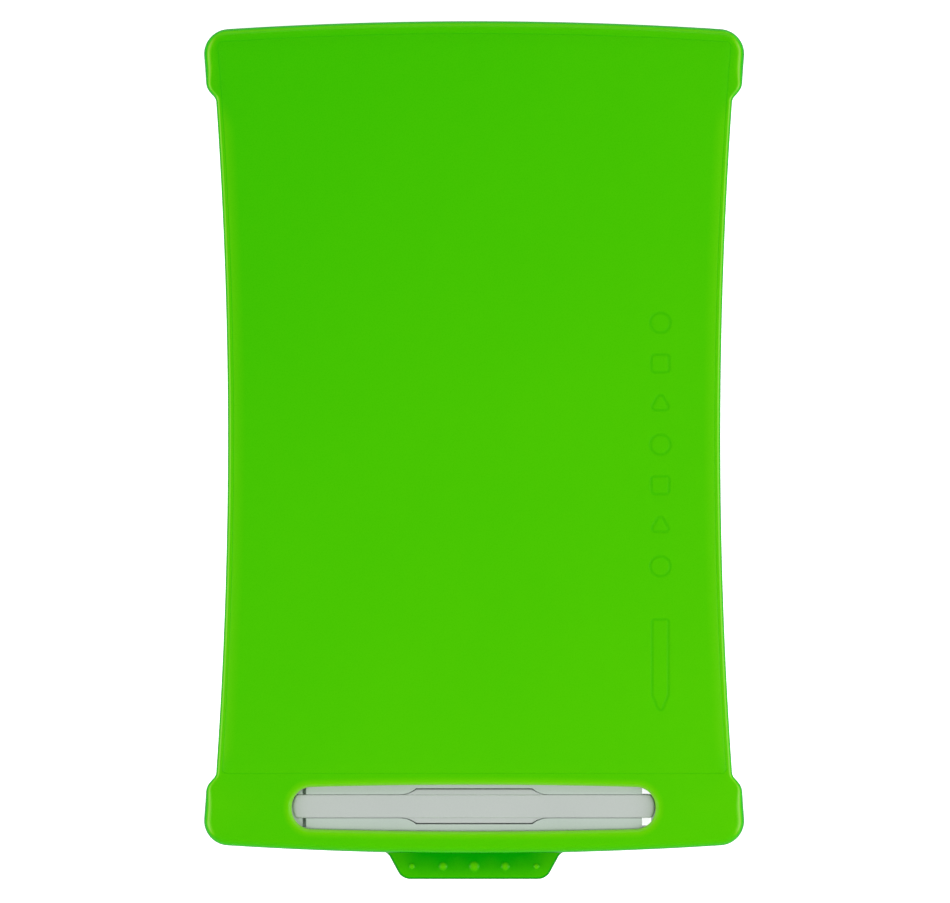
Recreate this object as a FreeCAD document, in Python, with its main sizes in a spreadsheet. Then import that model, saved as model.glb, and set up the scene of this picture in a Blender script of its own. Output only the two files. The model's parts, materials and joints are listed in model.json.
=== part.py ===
"""Kids' LCD writing tablet with a clip-on green screen cover and a docked stylus.

The tablet lies flat on its back. X runs across it, Y runs from the stylus dock (-Y) to the
top edge (+Y) and Z points out of the screen. The origin is the middle of the flat back face.
All sizes are in millimetres.
"""
import FreeCAD, Part
import math
import os
import Sketcher

Vector = FreeCAD.Vector

SIZES = {
    # outline shared by the housing and the cover
    "waist_half": (66.85, "half width at the waist"),
    "side_radius": (1306.0, "radius of the long concave sides"),
    "crown_half": (113.05, "cover: centre to the top of its end arcs"),
    "crown_radius": (1050.0, "radius of the two end arcs"),
    "ear_offset": (2.4, "cover: how far the corner ears stand out"),
    "ear_outer_y": (94.75, "cover: where an ear starts to step in"),
    "ear_inner_y": (91.75, "cover: where the step meets the long side"),
    "cover_corner": (6.8, "cover: corner radius"),
    "step_outer_round": (4.5, "cover: outer round of the ear step"),
    "step_inner_round": (2.5, "cover: inner round of the ear step"),
    "device_corner": (4.5, "housing: corner radius"),
    "cover_gap": (0.25, "clearance between the cover and the housing"),
    # heights above the back face
    "floor_top": (1.4, "rear shell: inner face of the floor"),
    "shell_split": (3.4, "parting line of the two shells"),
    "plate_under": (5.6, "bezel: underside of its front plate"),
    "device_top": (7.2, "bezel: front face"),
    "cover_under": (7.45, "cover: underside of its plate"),
    "cover_top": (9.2, "cover: front face"),
    "wall_foot": (1.2, "cover: lower edge of its end walls"),
    "shell_wall": (1.6, "thickness of the side walls of both shells"),
    "shell_edge_round": (1.2, "rear shell: round of the back edge"),
    "bezel_edge_round": (0.8, "bezel: round of the front edge"),
    # cover details
    "cover_edge_round": (1.1, "cover: round of the front edge"),
    "panel_side_inset": (1.3, "panel groove: distance from the long sides"),
    "panel_top_inset": (3.4, "panel groove: distance from the top arc"),
    "panel_foot_y": (91.15, "panel groove: height of its straight lower edge below centre"),
    "groove_wide": (0.3, "panel groove: width"),
    "groove_deep": (0.15, "panel groove: depth"),
    "wall_end_y": (93.2, "cover: where the ear walls end"),
    "window_x": (0.15, "window: distance left of the centre line"),
    "window_y": (100.6, "window: distance below centre"),
    "window_half_long": (49.35, "window: half length"),
    "window_half_high": (6.3, "window: half height at its middle"),
    "window_radius": (1600.0, "window: radius of its long edges"),
    "window_corner": (5.4, "window: corner radius"),
    "window_edge_round": (0.5, "window: round of the front edge"),
    "tab_root_half": (23.7, "thumb tab: half width where it leaves the cover"),
    "tab_tip_half": (19.6, "thumb tab: half width at its free edge"),
    "tab_reach": (120.3, "thumb tab: centre of the cover to the free edge"),
    "tab_low": (1.2, "thumb tab: underside"),
    "tab_high": (4.2, "thumb tab: front face"),
    "tab_corner": (3.8, "thumb tab: corner radius"),
    "tab_root_round": (2.0, "thumb tab: round where it meets the cover"),
    "tab_edge_round": (0.7, "thumb tab: round of its edges"),
    "bump_y": (116.75, "grip bumps: distance below centre"),
    "bump_pitch": (8.47, "grip bumps: spacing"),
    "bump_large": (2.6, "grip bumps: middle diameter"),
    "bump_medium": (2.15, "grip bumps: next diameter"),
    "bump_small": (1.5, "grip bumps: outer diameter"),
    "bump_high": (0.5, "grip bumps: height"),
    "relief_x": (50.5, "decor: distance of the column from the centre line"),
    "relief_stroke": (0.8, "decor: width of the sunk outlines"),
    "relief_deep": (0.2, "decor: depth of the sunk outlines"),
    "relief_half": (3.0, "decor: half size of one shape"),
    "relief_pitch": (11.0, "decor: spacing of the shapes"),
    "relief_first_y": (31.0, "decor: centre of the topmost shape"),
    "crush_rib": (0.6, "cover: radius of the crush ribs in its end walls"),
    "crush_high": (0.18, "cover: how far the crush ribs stand out"),
    # stylus and its dock
    "dock_y": (100.2, "stylus axis: distance below centre"),
    "stylus_low": (2.6, "stylus: underside"),
    "stylus_half": (3.16, "stylus: half width of the body"),
    "stylus_half_long": (49.15, "stylus: half length"),
    "stylus_end_radius": (5.2, "stylus: radius of its ends in plan"),
    "stylus_round": (0.9, "stylus: round of the long edges"),
    "wing_half": (4.62, "stylus: half width over the grip wings"),
    "wing_start": (15.7, "stylus: half length of the grip wings"),
    "wing_blend": (4.4, "stylus: length of the blend from wing to body"),
    "wing_drop": (0.3, "stylus: how far the wings lie below the body"),
    "tip_seam": (47.3, "stylus: where the tip begins"),
    "slot_gap": (0.07, "dock: clearance beside the body"),
    "wing_gap": (0.26, "dock: clearance beside the wings"),
    "slot_floor": (2.4, "dock: floor of the slot"),
    "ledge_end": (45.6, "dock: half length of the clip ledges"),
    "pocket_end": (50.4, "dock: middle to the far side of the end pockets"),
    "pocket_half": (5.7, "dock: half width of the end pockets"),
    "pocket_floor": (6.9, "dock: floor of the end pockets"),
    "notch_wide": (1.0, "dock: width of the relief notch in the left pocket"),
    "notch_floor": (5.8, "dock: floor of that notch"),
    "core_end": (48.3, "dock: middle to the far side of the core slot"),
    "dock_half_long": (55.4, "dock: half length of the moulded block"),
    "dock_half_high": (6.45, "dock: half height of the moulded block"),
    # display
    "screen_wide": (118.0, "display: visible width"),
    "screen_high": (181.0, "display: visible height"),
    "screen_y": (3.0, "display: centre above the tablet's centre"),
    "screen_corner": (2.0, "display: corner radius of the bezel opening"),
    "screen_bevel": (0.9, "display: bevel of the bezel opening"),
    "stack_margin": (2.0, "display: hidden margin on each side"),
    "film_tail": (1.3, "display: contact ledge of the writing film"),
    "tape_thick": (0.2, "display: adhesive frame"),
    "film_thick": (0.3, "display: writing film"),
    "crystal_thick": (0.2, "display: liquid crystal layer"),
    "backing_thick": (0.4, "display: dark backing film"),
    "support_thick": (1.0, "display: support plate"),
    # electronics
    "board_y": (102.0, "circuit board: centre above the tablet's centre"),
    "board_wide": (84.0, "circuit board: width"),
    "board_high": (10.6, "circuit board: height"),
    "board_thick": (1.0, "circuit board: thickness"),
    "board_post_x": (39.0, "circuit board: distance of its posts from the centre line"),
    "button_wide": (26.0, "erase button: width of the cap"),
    "button_high": (8.0, "erase button: height of the cap"),
    "button_gap": (0.2, "erase button: clearance in the bezel"),
    "button_skirt": (1.0, "erase button: how far the skirt stands out"),
    "button_top": (7.15, "erase button: front face"),
    "button_low": (4.95, "erase button: underside of the skirt"),
    "dome_low": (4.55, "switch: foot of the metal dome"),
    "dome_top": (4.9, "switch: top of the metal dome"),
    # battery
    "cell_x": (30.0, "coin cell: distance left of the centre line"),
    "cell_y": (84.0, "coin cell: centre above the tablet's centre"),
    "cell_diameter": (20.0, "coin cell: diameter"),
    "cell_thick": (1.6, "coin cell: thickness"),
    "cell_bore": (20.8, "coin cell: bore of its compartment"),
    "door_wide": (33.0, "battery door: width"),
    "door_high": (26.0, "battery door: height"),
    "door_thick": (1.15, "battery door: thickness"),
    "door_gap": (0.2, "battery door: clearance on each side"),
    "door_corner": (2.5, "battery door: corner radius"),
    "door_screw_x": (13.4, "battery door: distance of its screw from the cell axis"),
    # fasteners
    "screw_x": (59.5, "housing screws: distance from the centre line"),
    "screw_top_y": (102.5, "housing screws: upper pair above centre"),
    "screw_low_y": (101.0, "housing screws: lower pair below centre"),
    "screw_head": (4.0, "housing screws: head diameter"),
    "screw_shank": (1.6, "housing screws: shank diameter"),
    "screw_sink": (1.0, "housing screws: depth of the head below the back face"),
    "boss_diameter": (5.8, "screw bosses: diameter"),
}

doc = FreeCAD.newDocument("writing_tablet")
sheet = doc.addObject("Spreadsheet::Sheet", "sizes")
for row, (alias, (value, note)) in enumerate(SIZES.items(), start=1):
    sheet.set(f"A{row}", note)
    sheet.set(f"B{row}", str(value))
    sheet.setAlias(f"B{row}", alias)
doc.recompute()


def size(alias):
    """Value of one driving dimension, as the sheet holds it."""
    return float(getattr(sheet, alias))


def cell(expression):
    """Expression text with every alias in it turned into a reference to the sheet."""
    words = []
    word = ""
    for letter in expression + " ":
        if letter.isalnum() or letter in "_.":
            word += letter
            continue
        words.append(f"sizes.{word}" if word in SIZES else word)
        words.append(letter)
        word = ""
    return "".join(words).strip()


# ---------------------------------------------------------------- feature helpers

def new_body(label):
    """An empty PartDesign body whose label is the node's name."""
    body = doc.addObject("PartDesign::Body", label)
    body.Label = label
    return body


def origin_plane(body, role):
    """One of the body's own origin planes."""
    for feature in body.Origin.OriginFeatures:
        if feature.Role == role:
            return feature
    raise ValueError(role)


def new_sketch(body, x="0", y="0", z="0", role="XY_Plane"):
    """A sketch on an origin plane, shifted by three sheet expressions."""
    sketch = body.newObject("Sketcher::SketchObject", body.Label + "_sketch")
    sketch.AttachmentSupport = [(origin_plane(body, role), "")]
    sketch.MapMode = "FlatFace"
    for axis, expression in zip("xyz", (x, y, z)):
        sketch.setExpression(f"AttachmentOffset.Base.{axis}", cell(expression))
    return sketch


def bind(sketch, constraint, expression):
    """Adds a constraint and ties its value to the sheet."""
    index = sketch.addConstraint(constraint)
    sketch.setExpression(f"Constraints[{index}]", cell(expression))


def rectangle(body, wide, high, x="0", y="0", z="0"):
    """Sketch of a rectangle centred on its own origin."""
    sketch = new_sketch(body, x, y, z)
    corners = [Vector(-5, -3, 0), Vector(5, -3, 0), Vector(5, 3, 0), Vector(-5, 3, 0)]
    for first in range(4):
        sketch.addGeometry(Part.LineSegment(corners[first], corners[(first + 1) % 4]))
    for first in range(4):
        sketch.addConstraint(Sketcher.Constraint("Coincident", first, 2, (first + 1) % 4, 1))
    for side, kind in enumerate(("Horizontal", "Vertical", "Horizontal", "Vertical")):
        sketch.addConstraint(Sketcher.Constraint(kind, side))
    sketch.addConstraint(Sketcher.Constraint("Symmetric", 0, 1, 2, 1, -1, 1))
    bind(sketch, Sketcher.Constraint("DistanceX", 0, 1, 0, 2, 10.0), wide)
    bind(sketch, Sketcher.Constraint("DistanceY", 1, 1, 1, 2, 6.0), high)
    return sketch


def circle(body, diameter, x="0", y="0", z="0"):
    """Sketch of a circle centred on its own origin."""
    sketch = new_sketch(body, x, y, z)
    sketch.addGeometry(Part.Circle(Vector(0, 0, 0), Vector(0, 0, 1), 2.0))
    sketch.addConstraint(Sketcher.Constraint("Coincident", 0, 3, -1, 1))
    bind(sketch, Sketcher.Constraint("Diameter", 0, 4.0), diameter)
    return sketch


def close_chain(sketch, first, count):
    """Ties the ends of a closed chain of curves together, wherever two of them meet."""
    for step in range(count):
        one = first + step
        other = first + (step + 1) % count
        ends = [(one_end, other_end) for one_end in (1, 2) for other_end in (1, 2)]
        one_end, other_end = min(ends, key=lambda pair: sketch.getPoint(one, pair[0]).distanceToPoint(
            sketch.getPoint(other, pair[1])))
        sketch.addConstraint(Sketcher.Constraint("Coincident", one, one_end, other, other_end))


def pad(body, sketch, length):
    """Raises a sketch towards +Z (or along its own normal)."""
    feature = body.newObject("PartDesign::Pad", body.Label + "_pad")
    feature.Profile = sketch
    feature.setExpression("Length", cell(length))
    doc.recompute()
    return feature


def cut_up(body, sketch, length):
    """Cuts upwards from a sketch, and checks that it removed something."""
    before = body.Shape.Volume
    feature = body.newObject("PartDesign::Pocket", body.Label + "_pocket")
    feature.Profile = sketch
    feature.Reversed = True
    feature.setExpression("Length", cell(length))
    doc.recompute()
    if body.Shape.Volume > before - 1e-6:
        raise RuntimeError(f"{feature.Label} cut nothing")
    return feature


def named_edges(shape, wanted):
    """Names of the edges for which wanted(edge) is true."""
    return [f"Edge{i}" for i, edge in enumerate(shape.Edges, start=1) if wanted(edge)]


def dress(body, kind, edges, expression):
    """Adds a Fillet or a Chamfer to the named edges of the body's tip."""
    base = body.Tip
    feature = body.newObject(f"PartDesign::{kind}", f"{body.Label}_{kind.lower()}")
    feature.Base = (base, edges)
    value = "Radius" if kind == "Fillet" else "Size"
    feature.setExpression(value, cell(expression))
    doc.recompute()
    if feature.State and ("Invalid" in feature.State or "Error" in feature.State):
        raise RuntimeError(f"{feature.Label} failed on {edges}")
    return feature


def is_upright(edge, x, y, low, high, reach=0.5):
    """True for an edge that runs along Z near (x, y) and lies between two heights."""
    box = edge.BoundBox
    straight = box.XLength < 1e-4 and box.YLength < 1e-4 and box.ZLength > 0.05
    near = abs(box.XMin - x) < reach and abs(box.YMin - y) < reach
    return straight and near and box.ZMin > low - 0.01 and box.ZMax < high + 0.01


def round_upright(body, points, low, high, expression, reach=0.5):
    """Rounds the upright edges at the given plan points."""
    edges = named_edges(body.Shape, lambda edge: any(
        is_upright(edge, x, y, low, high, reach) for x, y in points))
    if len(edges) != len(points):
        raise RuntimeError(f"{body.Label}: {len(edges)} upright edges for {len(points)} points")
    return dress(body, "Fillet", edges, expression)


def level_edges(shape, height, inside):
    """Names of the edges that lie at one height and satisfy inside(box)."""
    return named_edges(shape, lambda edge: abs(edge.BoundBox.ZMin - height) < 1e-4
                       and abs(edge.BoundBox.ZMax - height) < 1e-4 and inside(edge.BoundBox))


# ---------------------------------------------------------------- outlines

def side_x(y, waist):
    """Half width of the concave long side at height y."""
    radius = size("side_radius")
    return waist + radius - math.sqrt(radius ** 2 - y ** 2)


def crown_y(x, half):
    """Height of an end arc at distance x from the centre line."""
    radius = size("crown_radius")
    return half - radius + math.sqrt(radius ** 2 - x ** 2)


def corner_point(waist, half):
    """Where a long side meets an end arc."""
    x = waist
    for _ in range(20):
        y = crown_y(x, half)
        x = side_x(y, waist)
    return x, y


def waisted_points(waist, half):
    """Corners of the four-arc outline, counter-clockwise from the lower right."""
    x, y = corner_point(waist, half)
    return [(x, -y), (x, y), (-x, y), (-x, -y)]


def add_waisted(sketch, waist, half):
    """Adds the four-arc outline of the tablet to a sketch."""
    first = sketch.GeometryCount
    corners = [Vector(x, y, 0) for x, y in waisted_points(waist, half)]
    middles = [Vector(waist, 0, 0), Vector(0, half, 0), Vector(-waist, 0, 0), Vector(0, -half, 0)]
    for index, middle in enumerate(middles):
        sketch.addGeometry(Part.Arc(corners[index], middle, corners[(index + 1) % 4]))
    close_chain(sketch, first, 4)
    for index, radius in enumerate(("side_radius", "crown_radius") * 2):
        value = size(radius)
        bind(sketch, Sketcher.Constraint("Radius", first + index, value), radius)


def device_half():
    """Half height of the housing: the cover's end walls stand around it."""
    return size("crown_half") - size("ear_offset")


# ---------------------------------------------------------------- screen cover

def ear_profile():
    """Points and arcs of the upper right quarter of the cover, from the waist to the crown."""
    waist = size("waist_half")
    outer = waist + size("ear_offset")
    inner_y = size("ear_inner_y")
    outer_y = size("ear_outer_y")
    corner = corner_point(outer, size("crown_half"))
    return {
        "waist": (waist, 0.0),
        "step_in": (side_x(inner_y, waist), inner_y),
        "step_out": (side_x(outer_y, outer), outer_y),
        "ear_middle": (side_x((outer_y + corner[1]) / 2, outer), (outer_y + corner[1]) / 2),
        "corner": corner,
    }


def add_cover_outline(sketch):
    """Outline of the cover: end arcs, four ears and two concave sides."""
    spot = ear_profile()

    def at(name, right, up):
        x, y = spot[name]
        return Vector(x * right, y * up, 0)

    curves = []
    for right, up in ((1, 1), (-1, -1)):
        curves.append(Part.Arc(at("step_in", right, -up), at("waist", right, up), at("step_in", right, up)))
        curves.append(Part.LineSegment(at("step_in", right, up), at("step_out", right, up)))
        curves.append(Part.Arc(at("step_out", right, up), at("ear_middle", right, up), at("corner", right, up)))
        crown = Vector(0, size("crown_half") * up, 0)
        curves.append(Part.Arc(at("corner", right, up), crown, at("corner", -right, up)))
        curves.append(Part.Arc(at("corner", -right, up), at("ear_middle", -right, up),
                               at("step_out", -right, up)))
        curves.append(Part.LineSegment(at("step_out", -right, up), at("step_in", -right, up)))
    sketch.addGeometry(curves)
    close_chain(sketch, 0, len(curves))


def four_corners(x, y):
    """A plan point mirrored into all four quadrants."""
    return [(x, y), (-x, y), (-x, -y), (x, -y)]


def cut_cover_inside(body):
    """Hollows the cover: end walls and ear walls stay, the long sides are left open."""
    waist = size("waist_half") + size("cover_gap")
    half = device_half() + size("cover_gap")
    sketch = new_sketch(body, z="wall_foot")
    add_waisted(sketch, waist, half)
    cut_up(body, sketch, "cover_under - wall_foot")
    x, y = corner_point(waist, half)
    round_upright(body, four_corners(x, y), size("wall_foot"), size("cover_under"),
                  "device_corner + cover_gap")
    cut_up(body, rectangle(body, "2 * (waist_half + 4 * ear_offset)", "2 * wall_end_y", z="wall_foot"),
           "cover_under - wall_foot")


def window_points():
    """Corners of the stylus window, relative to its own centre."""
    x = size("window_half_long")
    radius = size("window_radius")
    y = size("window_half_high") - radius + math.sqrt(radius ** 2 - x ** 2)
    return four_corners(x, y)


def cut_window(body):
    """Cuts the long stylus window and rounds its rim."""
    centre_y = -size("window_y")
    sketch = new_sketch(body, "-window_x", "-window_y", "cover_under - 1")
    right_up, left_up, left_low, right_low = [Vector(x, y, 0) for x, y in window_points()]
    crest = Vector(0, size("window_half_high"), 0)
    sketch.addGeometry([
        Part.Arc(right_up, crest, left_up),
        Part.LineSegment(left_up, left_low),
        Part.Arc(left_low, crest.negative(), right_low),
        Part.LineSegment(right_low, right_up),
    ])
    close_chain(sketch, 0, 4)
    cut_up(body, sketch, "cover_top - cover_under + 2")
    points = [(x - size("window_x"), y + centre_y) for x, y in window_points()]
    round_upright(body, points, size("cover_under"), size("cover_top"), "window_corner")
    reach = size("window_half_long") + 0.3
    rim = level_edges(body.Shape, size("cover_top"), lambda box: box.XMin > -reach and box.XMax < reach
                      and box.YMin > centre_y - 7 and box.YMax < centre_y + 7)
    dress(body, "Fillet", rim, "window_edge_round")


def add_tab(body):
    """Thumb tab on the lower end wall, with its row of grip bumps."""
    root = size("tab_root_half")
    tip = size("tab_tip_half")
    root_y = -crown_y(root, size("crown_half"))
    inside_y = root_y + 1.5
    sketch = new_sketch(body, z="tab_low")
    corners = [Vector(root, inside_y, 0), Vector(-root, inside_y, 0), Vector(-root, root_y, 0),
               Vector(-tip, -size("tab_reach"), 0), Vector(tip, -size("tab_reach"), 0),
               Vector(root, root_y, 0)]
    sketch.addGeometry([Part.LineSegment(a, b) for a, b in zip(corners, corners[1:] + corners[:1])])
    close_chain(sketch, 0, len(corners))
    pad(body, sketch, "tab_high - tab_low")
    low, high = size("tab_low"), size("tab_high")
    round_upright(body, [(tip, -size("tab_reach")), (-tip, -size("tab_reach"))], low, high, "tab_corner")
    for height in (high, low):
        rim = level_edges(body.Shape, height, lambda box: box.YMin < root_y - 0.5
                          and box.YMax < root_y + 0.5)
        dress(body, "Fillet", rim, "tab_edge_round")
    round_upright(body, [(root, root_y), (-root, root_y)], low, high, "tab_root_round")
    for step in range(-2, 3):
        diameter = ("bump_large", "bump_medium", "bump_small")[abs(step)]
        sketch = circle(body, diameter, f"{step} * bump_pitch", "-bump_y", "tab_high - 0.1")
        pad(body, sketch, "bump_high + 0.1")
        top = size("tab_high") + size("bump_high")
        rim = level_edges(body.Shape, top, lambda box: abs(box.Center.x - step * size("bump_pitch")) < 0.2)
        dress(body, "Fillet", rim, "bump_high - 0.1")


def cut_panel_groove(body):
    """Fine groove that frames the flat middle panel of the cover."""
    sketch = new_sketch(body, z="cover_top - groove_deep")
    for inset in (0.0, size("groove_wide")):
        waist = size("waist_half") - size("panel_side_inset") - inset
        half = size("crown_half") - size("panel_top_inset") - inset
        foot = -size("panel_foot_y") + inset
        x, y = corner_point(waist, half)
        foot_x = side_x(foot, waist)
        middle = (y + foot) / 2
        first = sketch.GeometryCount
        sketch.addGeometry([
            Part.LineSegment(Vector(-foot_x, foot, 0), Vector(foot_x, foot, 0)),
            Part.Arc(Vector(foot_x, foot, 0), Vector(side_x(middle, waist), middle, 0), Vector(x, y, 0)),
            Part.Arc(Vector(x, y, 0), Vector(0, half, 0), Vector(-x, y, 0)),
            Part.Arc(Vector(-x, y, 0), Vector(-side_x(middle, waist), middle, 0),
                     Vector(-foot_x, foot, 0)),
        ])
        close_chain(sketch, first, 4)
    cut_up(body, sketch, "groove_deep + 1")


def polygon(corners):
    """Closed list of line segments through the given plan points."""
    points = [Vector(x, y, 0) for x, y in corners]
    return [Part.LineSegment(a, b) for a, b in zip(points, points[1:] + points[:1])]


def regular(count, radius, turn):
    """Corners of a regular polygon around the origin."""
    return [(radius * math.cos(turn + 2 * math.pi * k / count),
             radius * math.sin(turn + 2 * math.pi * k / count)) for k in range(count)]


def cut_relief(body):
    """A column of plain sunk outlines (circle, square, triangle) and a pencil below it."""
    outer = size("relief_half")
    stroke = size("relief_stroke")
    for index in range(7):
        sketch = new_sketch(body, "relief_x", f"relief_first_y - {index} * relief_pitch",
                            "cover_top - relief_deep")
        if index % 3 == 0:
            for radius in (outer, outer - stroke):
                sketch.addGeometry(Part.Circle(Vector(0, 0, 0), Vector(0, 0, 1), radius))
        else:
            count, turn = ((4, math.pi / 4), (3, math.pi / 2))[index % 3 - 1]
            radius = outer * 1.25
            inner = radius - stroke / math.cos(math.pi / count)
            for reach in (radius, inner):
                first = sketch.GeometryCount
                sketch.addGeometry(polygon(regular(count, reach, turn)))
                close_chain(sketch, first, count)
        cut_up(body, sketch, "relief_deep + 1")
    sketch = new_sketch(body, "relief_x", "-62", "cover_top - relief_deep")
    for inset in (0.0, stroke):
        half = 2.6 - inset
        top = 13.0 - inset
        point = -14.0 + 2.1 * inset
        neck = -8.0 + 0.35 * inset
        first = sketch.GeometryCount
        sketch.addGeometry(polygon([(-half, neck), (0, point), (half, neck), (half, top), (-half, top)]))
        close_chain(sketch, first, 5)
    cut_up(body, sketch, "relief_deep + 1")


def add_crush_ribs(body):
    """Small upright ribs inside the end walls that grip the housing when the cover is on."""
    inner = device_half() + size("cover_gap")
    lift = size("crush_rib") - size("crush_high")
    for x in (-48.0, -20.0, 20.0, 48.0):
        for end in (-1, 1):
            y = end * (crown_y(x, inner) + lift)
            sketch = circle(body, "2 * crush_rib", str(x), str(round(y, 4)), "wall_foot + 0.6")
            pad(body, sketch, "cover_under - wall_foot - 0.4")


def make_screen_cover():
    """Translucent green clip-on cover with the stylus window and the thumb tab."""
    body = new_body("screen_cover")
    outline = new_sketch(body, z="wall_foot")
    add_cover_outline(outline)
    pad(body, outline, "cover_top - wall_foot")
    low, high = size("wall_foot"), size("cover_top")
    spot = ear_profile()
    round_upright(body, four_corners(*spot["corner"]), low, high, "cover_corner")
    round_upright(body, four_corners(*spot["step_out"]), low, high, "step_outer_round")
    round_upright(body, four_corners(*spot["step_in"]), low, high, "step_inner_round")
    rim = level_edges(body.Shape, high, lambda box: True)
    dress(body, "Fillet", rim, "cover_edge_round")
    cut_cover_inside(body)
    add_tab(body)
    cut_window(body)
    cut_panel_groove(body)
    cut_relief(body)
    add_crush_ribs(body)
    return body


# ---------------------------------------------------------------- stylus and dock outlines

def stylus_outline(body_half, wing_half, wing_start, end_x, tip_x):
    """Plan of the stylus or of its slot: narrow body, wider wings, concave blends.

    Each end is an arc from end_x out to tip_x.
    """
    blend = size("wing_blend")
    rise = wing_half - body_half
    radius = (blend ** 2 + rise ** 2) / (2 * rise)
    turn = math.asin(blend / radius) / 2
    foot_x = wing_start + blend

    def blend_arc(right, up):
        wing = Vector(right * wing_start, up * wing_half, 0)
        foot = Vector(right * foot_x, up * body_half, 0)
        middle = Vector(right * (foot_x - radius * math.sin(turn)),
                        up * (body_half + radius * (1 - math.cos(turn))), 0)
        return Part.Arc(wing, middle, foot)

    def level(start_x, end_x, y):
        return Part.LineSegment(Vector(start_x, y, 0), Vector(end_x, y, 0))

    def end_arc(right):
        return Part.Arc(Vector(right * end_x, -right * body_half, 0), Vector(right * tip_x, 0, 0),
                        Vector(right * end_x, right * body_half, 0))

    return [end_arc(1), level(end_x, foot_x, body_half), blend_arc(1, 1),
            level(wing_start, -wing_start, wing_half), blend_arc(-1, 1), level(-foot_x, -end_x, body_half),
            end_arc(-1), level(-end_x, -foot_x, -body_half), blend_arc(-1, -1),
            level(-wing_start, wing_start, -wing_half), blend_arc(1, -1), level(foot_x, end_x, -body_half)]


def end_arc_start(half, reach, radius):
    """Where the arc of a rounded end meets the long edges."""
    return reach - radius + math.sqrt(radius ** 2 - half ** 2)


def end_arc_outline(left, right):
    """Plan of the stylus body; each end is an arc if its flag is set, else a straight seam."""
    half = size("stylus_half")
    reach = size("stylus_half_long")
    radius = size("stylus_end_radius")
    arc_x = end_arc_start(half, reach, radius)
    seam = size("tip_seam")
    right_x = arc_x if right else -seam
    left_x = -arc_x if left else -seam
    curves = [Part.LineSegment(Vector(left_x, -half, 0), Vector(right_x, -half, 0))]
    if right:
        curves.append(Part.Arc(Vector(right_x, -half, 0), Vector(reach, 0, 0), Vector(right_x, half, 0)))
    else:
        curves.append(Part.LineSegment(Vector(right_x, -half, 0), Vector(right_x, half, 0)))
    curves.append(Part.LineSegment(Vector(right_x, half, 0), Vector(left_x, half, 0)))
    if left:
        curves.append(Part.Arc(Vector(left_x, half, 0), Vector(-reach, 0, 0), Vector(left_x, -half, 0)))
    else:
        curves.append(Part.LineSegment(Vector(left_x, half, 0), Vector(left_x, -half, 0)))
    return curves


def make_stylus_barrel():
    """Flat stylus body with a pair of grip wings and a bore for the tip."""
    body = new_body("stylus_barrel")
    sketch = new_sketch(body, y="-dock_y", z="stylus_low")
    sketch.addGeometry(end_arc_outline(False, True))
    close_chain(sketch, 0, 4)
    pad(body, sketch, "device_top - stylus_low")
    seam = -size("tip_seam") + 0.01
    for height in (size("device_top"), size("stylus_low")):
        rim = level_edges(body.Shape, height, lambda box: box.XMax > seam)
        dress(body, "Fillet", rim, "stylus_round")
    sketch = new_sketch(body, y="-dock_y", z="stylus_low + wing_drop")
    start = size("wing_start")
    reach = start + size("wing_blend") + 6
    narrow = size("stylus_half") - size("stylus_round") * 0.5
    curves = stylus_outline(narrow, size("wing_half"), start, reach, reach + 1)
    sketch.addGeometry(curves)
    close_chain(sketch, 0, len(curves))
    pad(body, sketch, "device_top - stylus_low - 2 * wing_drop")
    bore = new_sketch(body, "-dock_y", "(device_top + stylus_low) / 2", "-tip_seam", "YZ_Plane")
    bore.addGeometry(Part.Circle(Vector(0, 0, 0), Vector(0, 0, 1), 1.0))
    bore.addConstraint(Sketcher.Constraint("Coincident", 0, 3, -1, 1))
    bore.addConstraint(Sketcher.Constraint("Diameter", 0, 2.1))
    cut_up(body, bore, "5.2")
    return body


def make_stylus_tip():
    """Rounded writing tip with a peg that is pressed into the barrel."""
    body = new_body("stylus_tip")
    sketch = new_sketch(body, y="-dock_y", z="stylus_low")
    sketch.addGeometry(end_arc_outline(True, False))
    close_chain(sketch, 0, 4)
    pad(body, sketch, "device_top - stylus_low")
    seam = -size("tip_seam") - 0.01
    for height in (size("device_top"), size("stylus_low")):
        rim = level_edges(body.Shape, height, lambda box: box.XMin < seam)
        dress(body, "Fillet", rim, "stylus_round")
    peg = new_sketch(body, "-dock_y", "(device_top + stylus_low) / 2", "-tip_seam - 0.5", "YZ_Plane")
    peg.addGeometry(Part.Circle(Vector(0, 0, 0), Vector(0, 0, 1), 1.0))
    peg.addConstraint(Sketcher.Constraint("Coincident", 0, 3, -1, 1))
    peg.addConstraint(Sketcher.Constraint("Diameter", 0, 2.0))
    pad(body, peg, "5.5")
    return body


# ---------------------------------------------------------------- housing

def add_device_block(body, low, high):
    """Solid of the housing's outline between two heights, with its corners rounded."""
    sketch = new_sketch(body, z=low)
    add_waisted(sketch, size("waist_half"), device_half())
    pad(body, sketch, f"{high} - {low}" if low != "0" else high)
    x, y = corner_point(size("waist_half"), device_half())
    floor = 0.0 if low == "0" else size(low)
    round_upright(body, four_corners(x, y), floor, size(high), "device_corner")


def cut_device_inside(body, low, high):
    """Hollows a shell between two heights, leaving its side walls."""
    waist = size("waist_half") - size("shell_wall")
    half = device_half() - size("shell_wall")
    sketch = new_sketch(body, z=low)
    add_waisted(sketch, waist, half)
    cut_up(body, sketch, f"{high} - {low}")
    x, y = corner_point(waist, half)
    round_upright(body, four_corners(x, y), size(low), size(high), "device_corner - shell_wall")


def screw_places():
    """Sheet expressions of the four housing screws."""
    return [("screw_x", "screw_top_y"), ("-screw_x", "screw_top_y"),
            ("screw_x", "-screw_low_y"), ("-screw_x", "-screw_low_y")]


def cut_core_slot(body, bottom, height):
    """Core slot where the mould reaches the ledges: it passes right through under the stylus's end."""
    cut_up(body, rectangle(body, "core_end - ledge_end", "2 * pocket_half", "(core_end + ledge_end) / 2",
                           "-dock_y", bottom), height)


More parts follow.
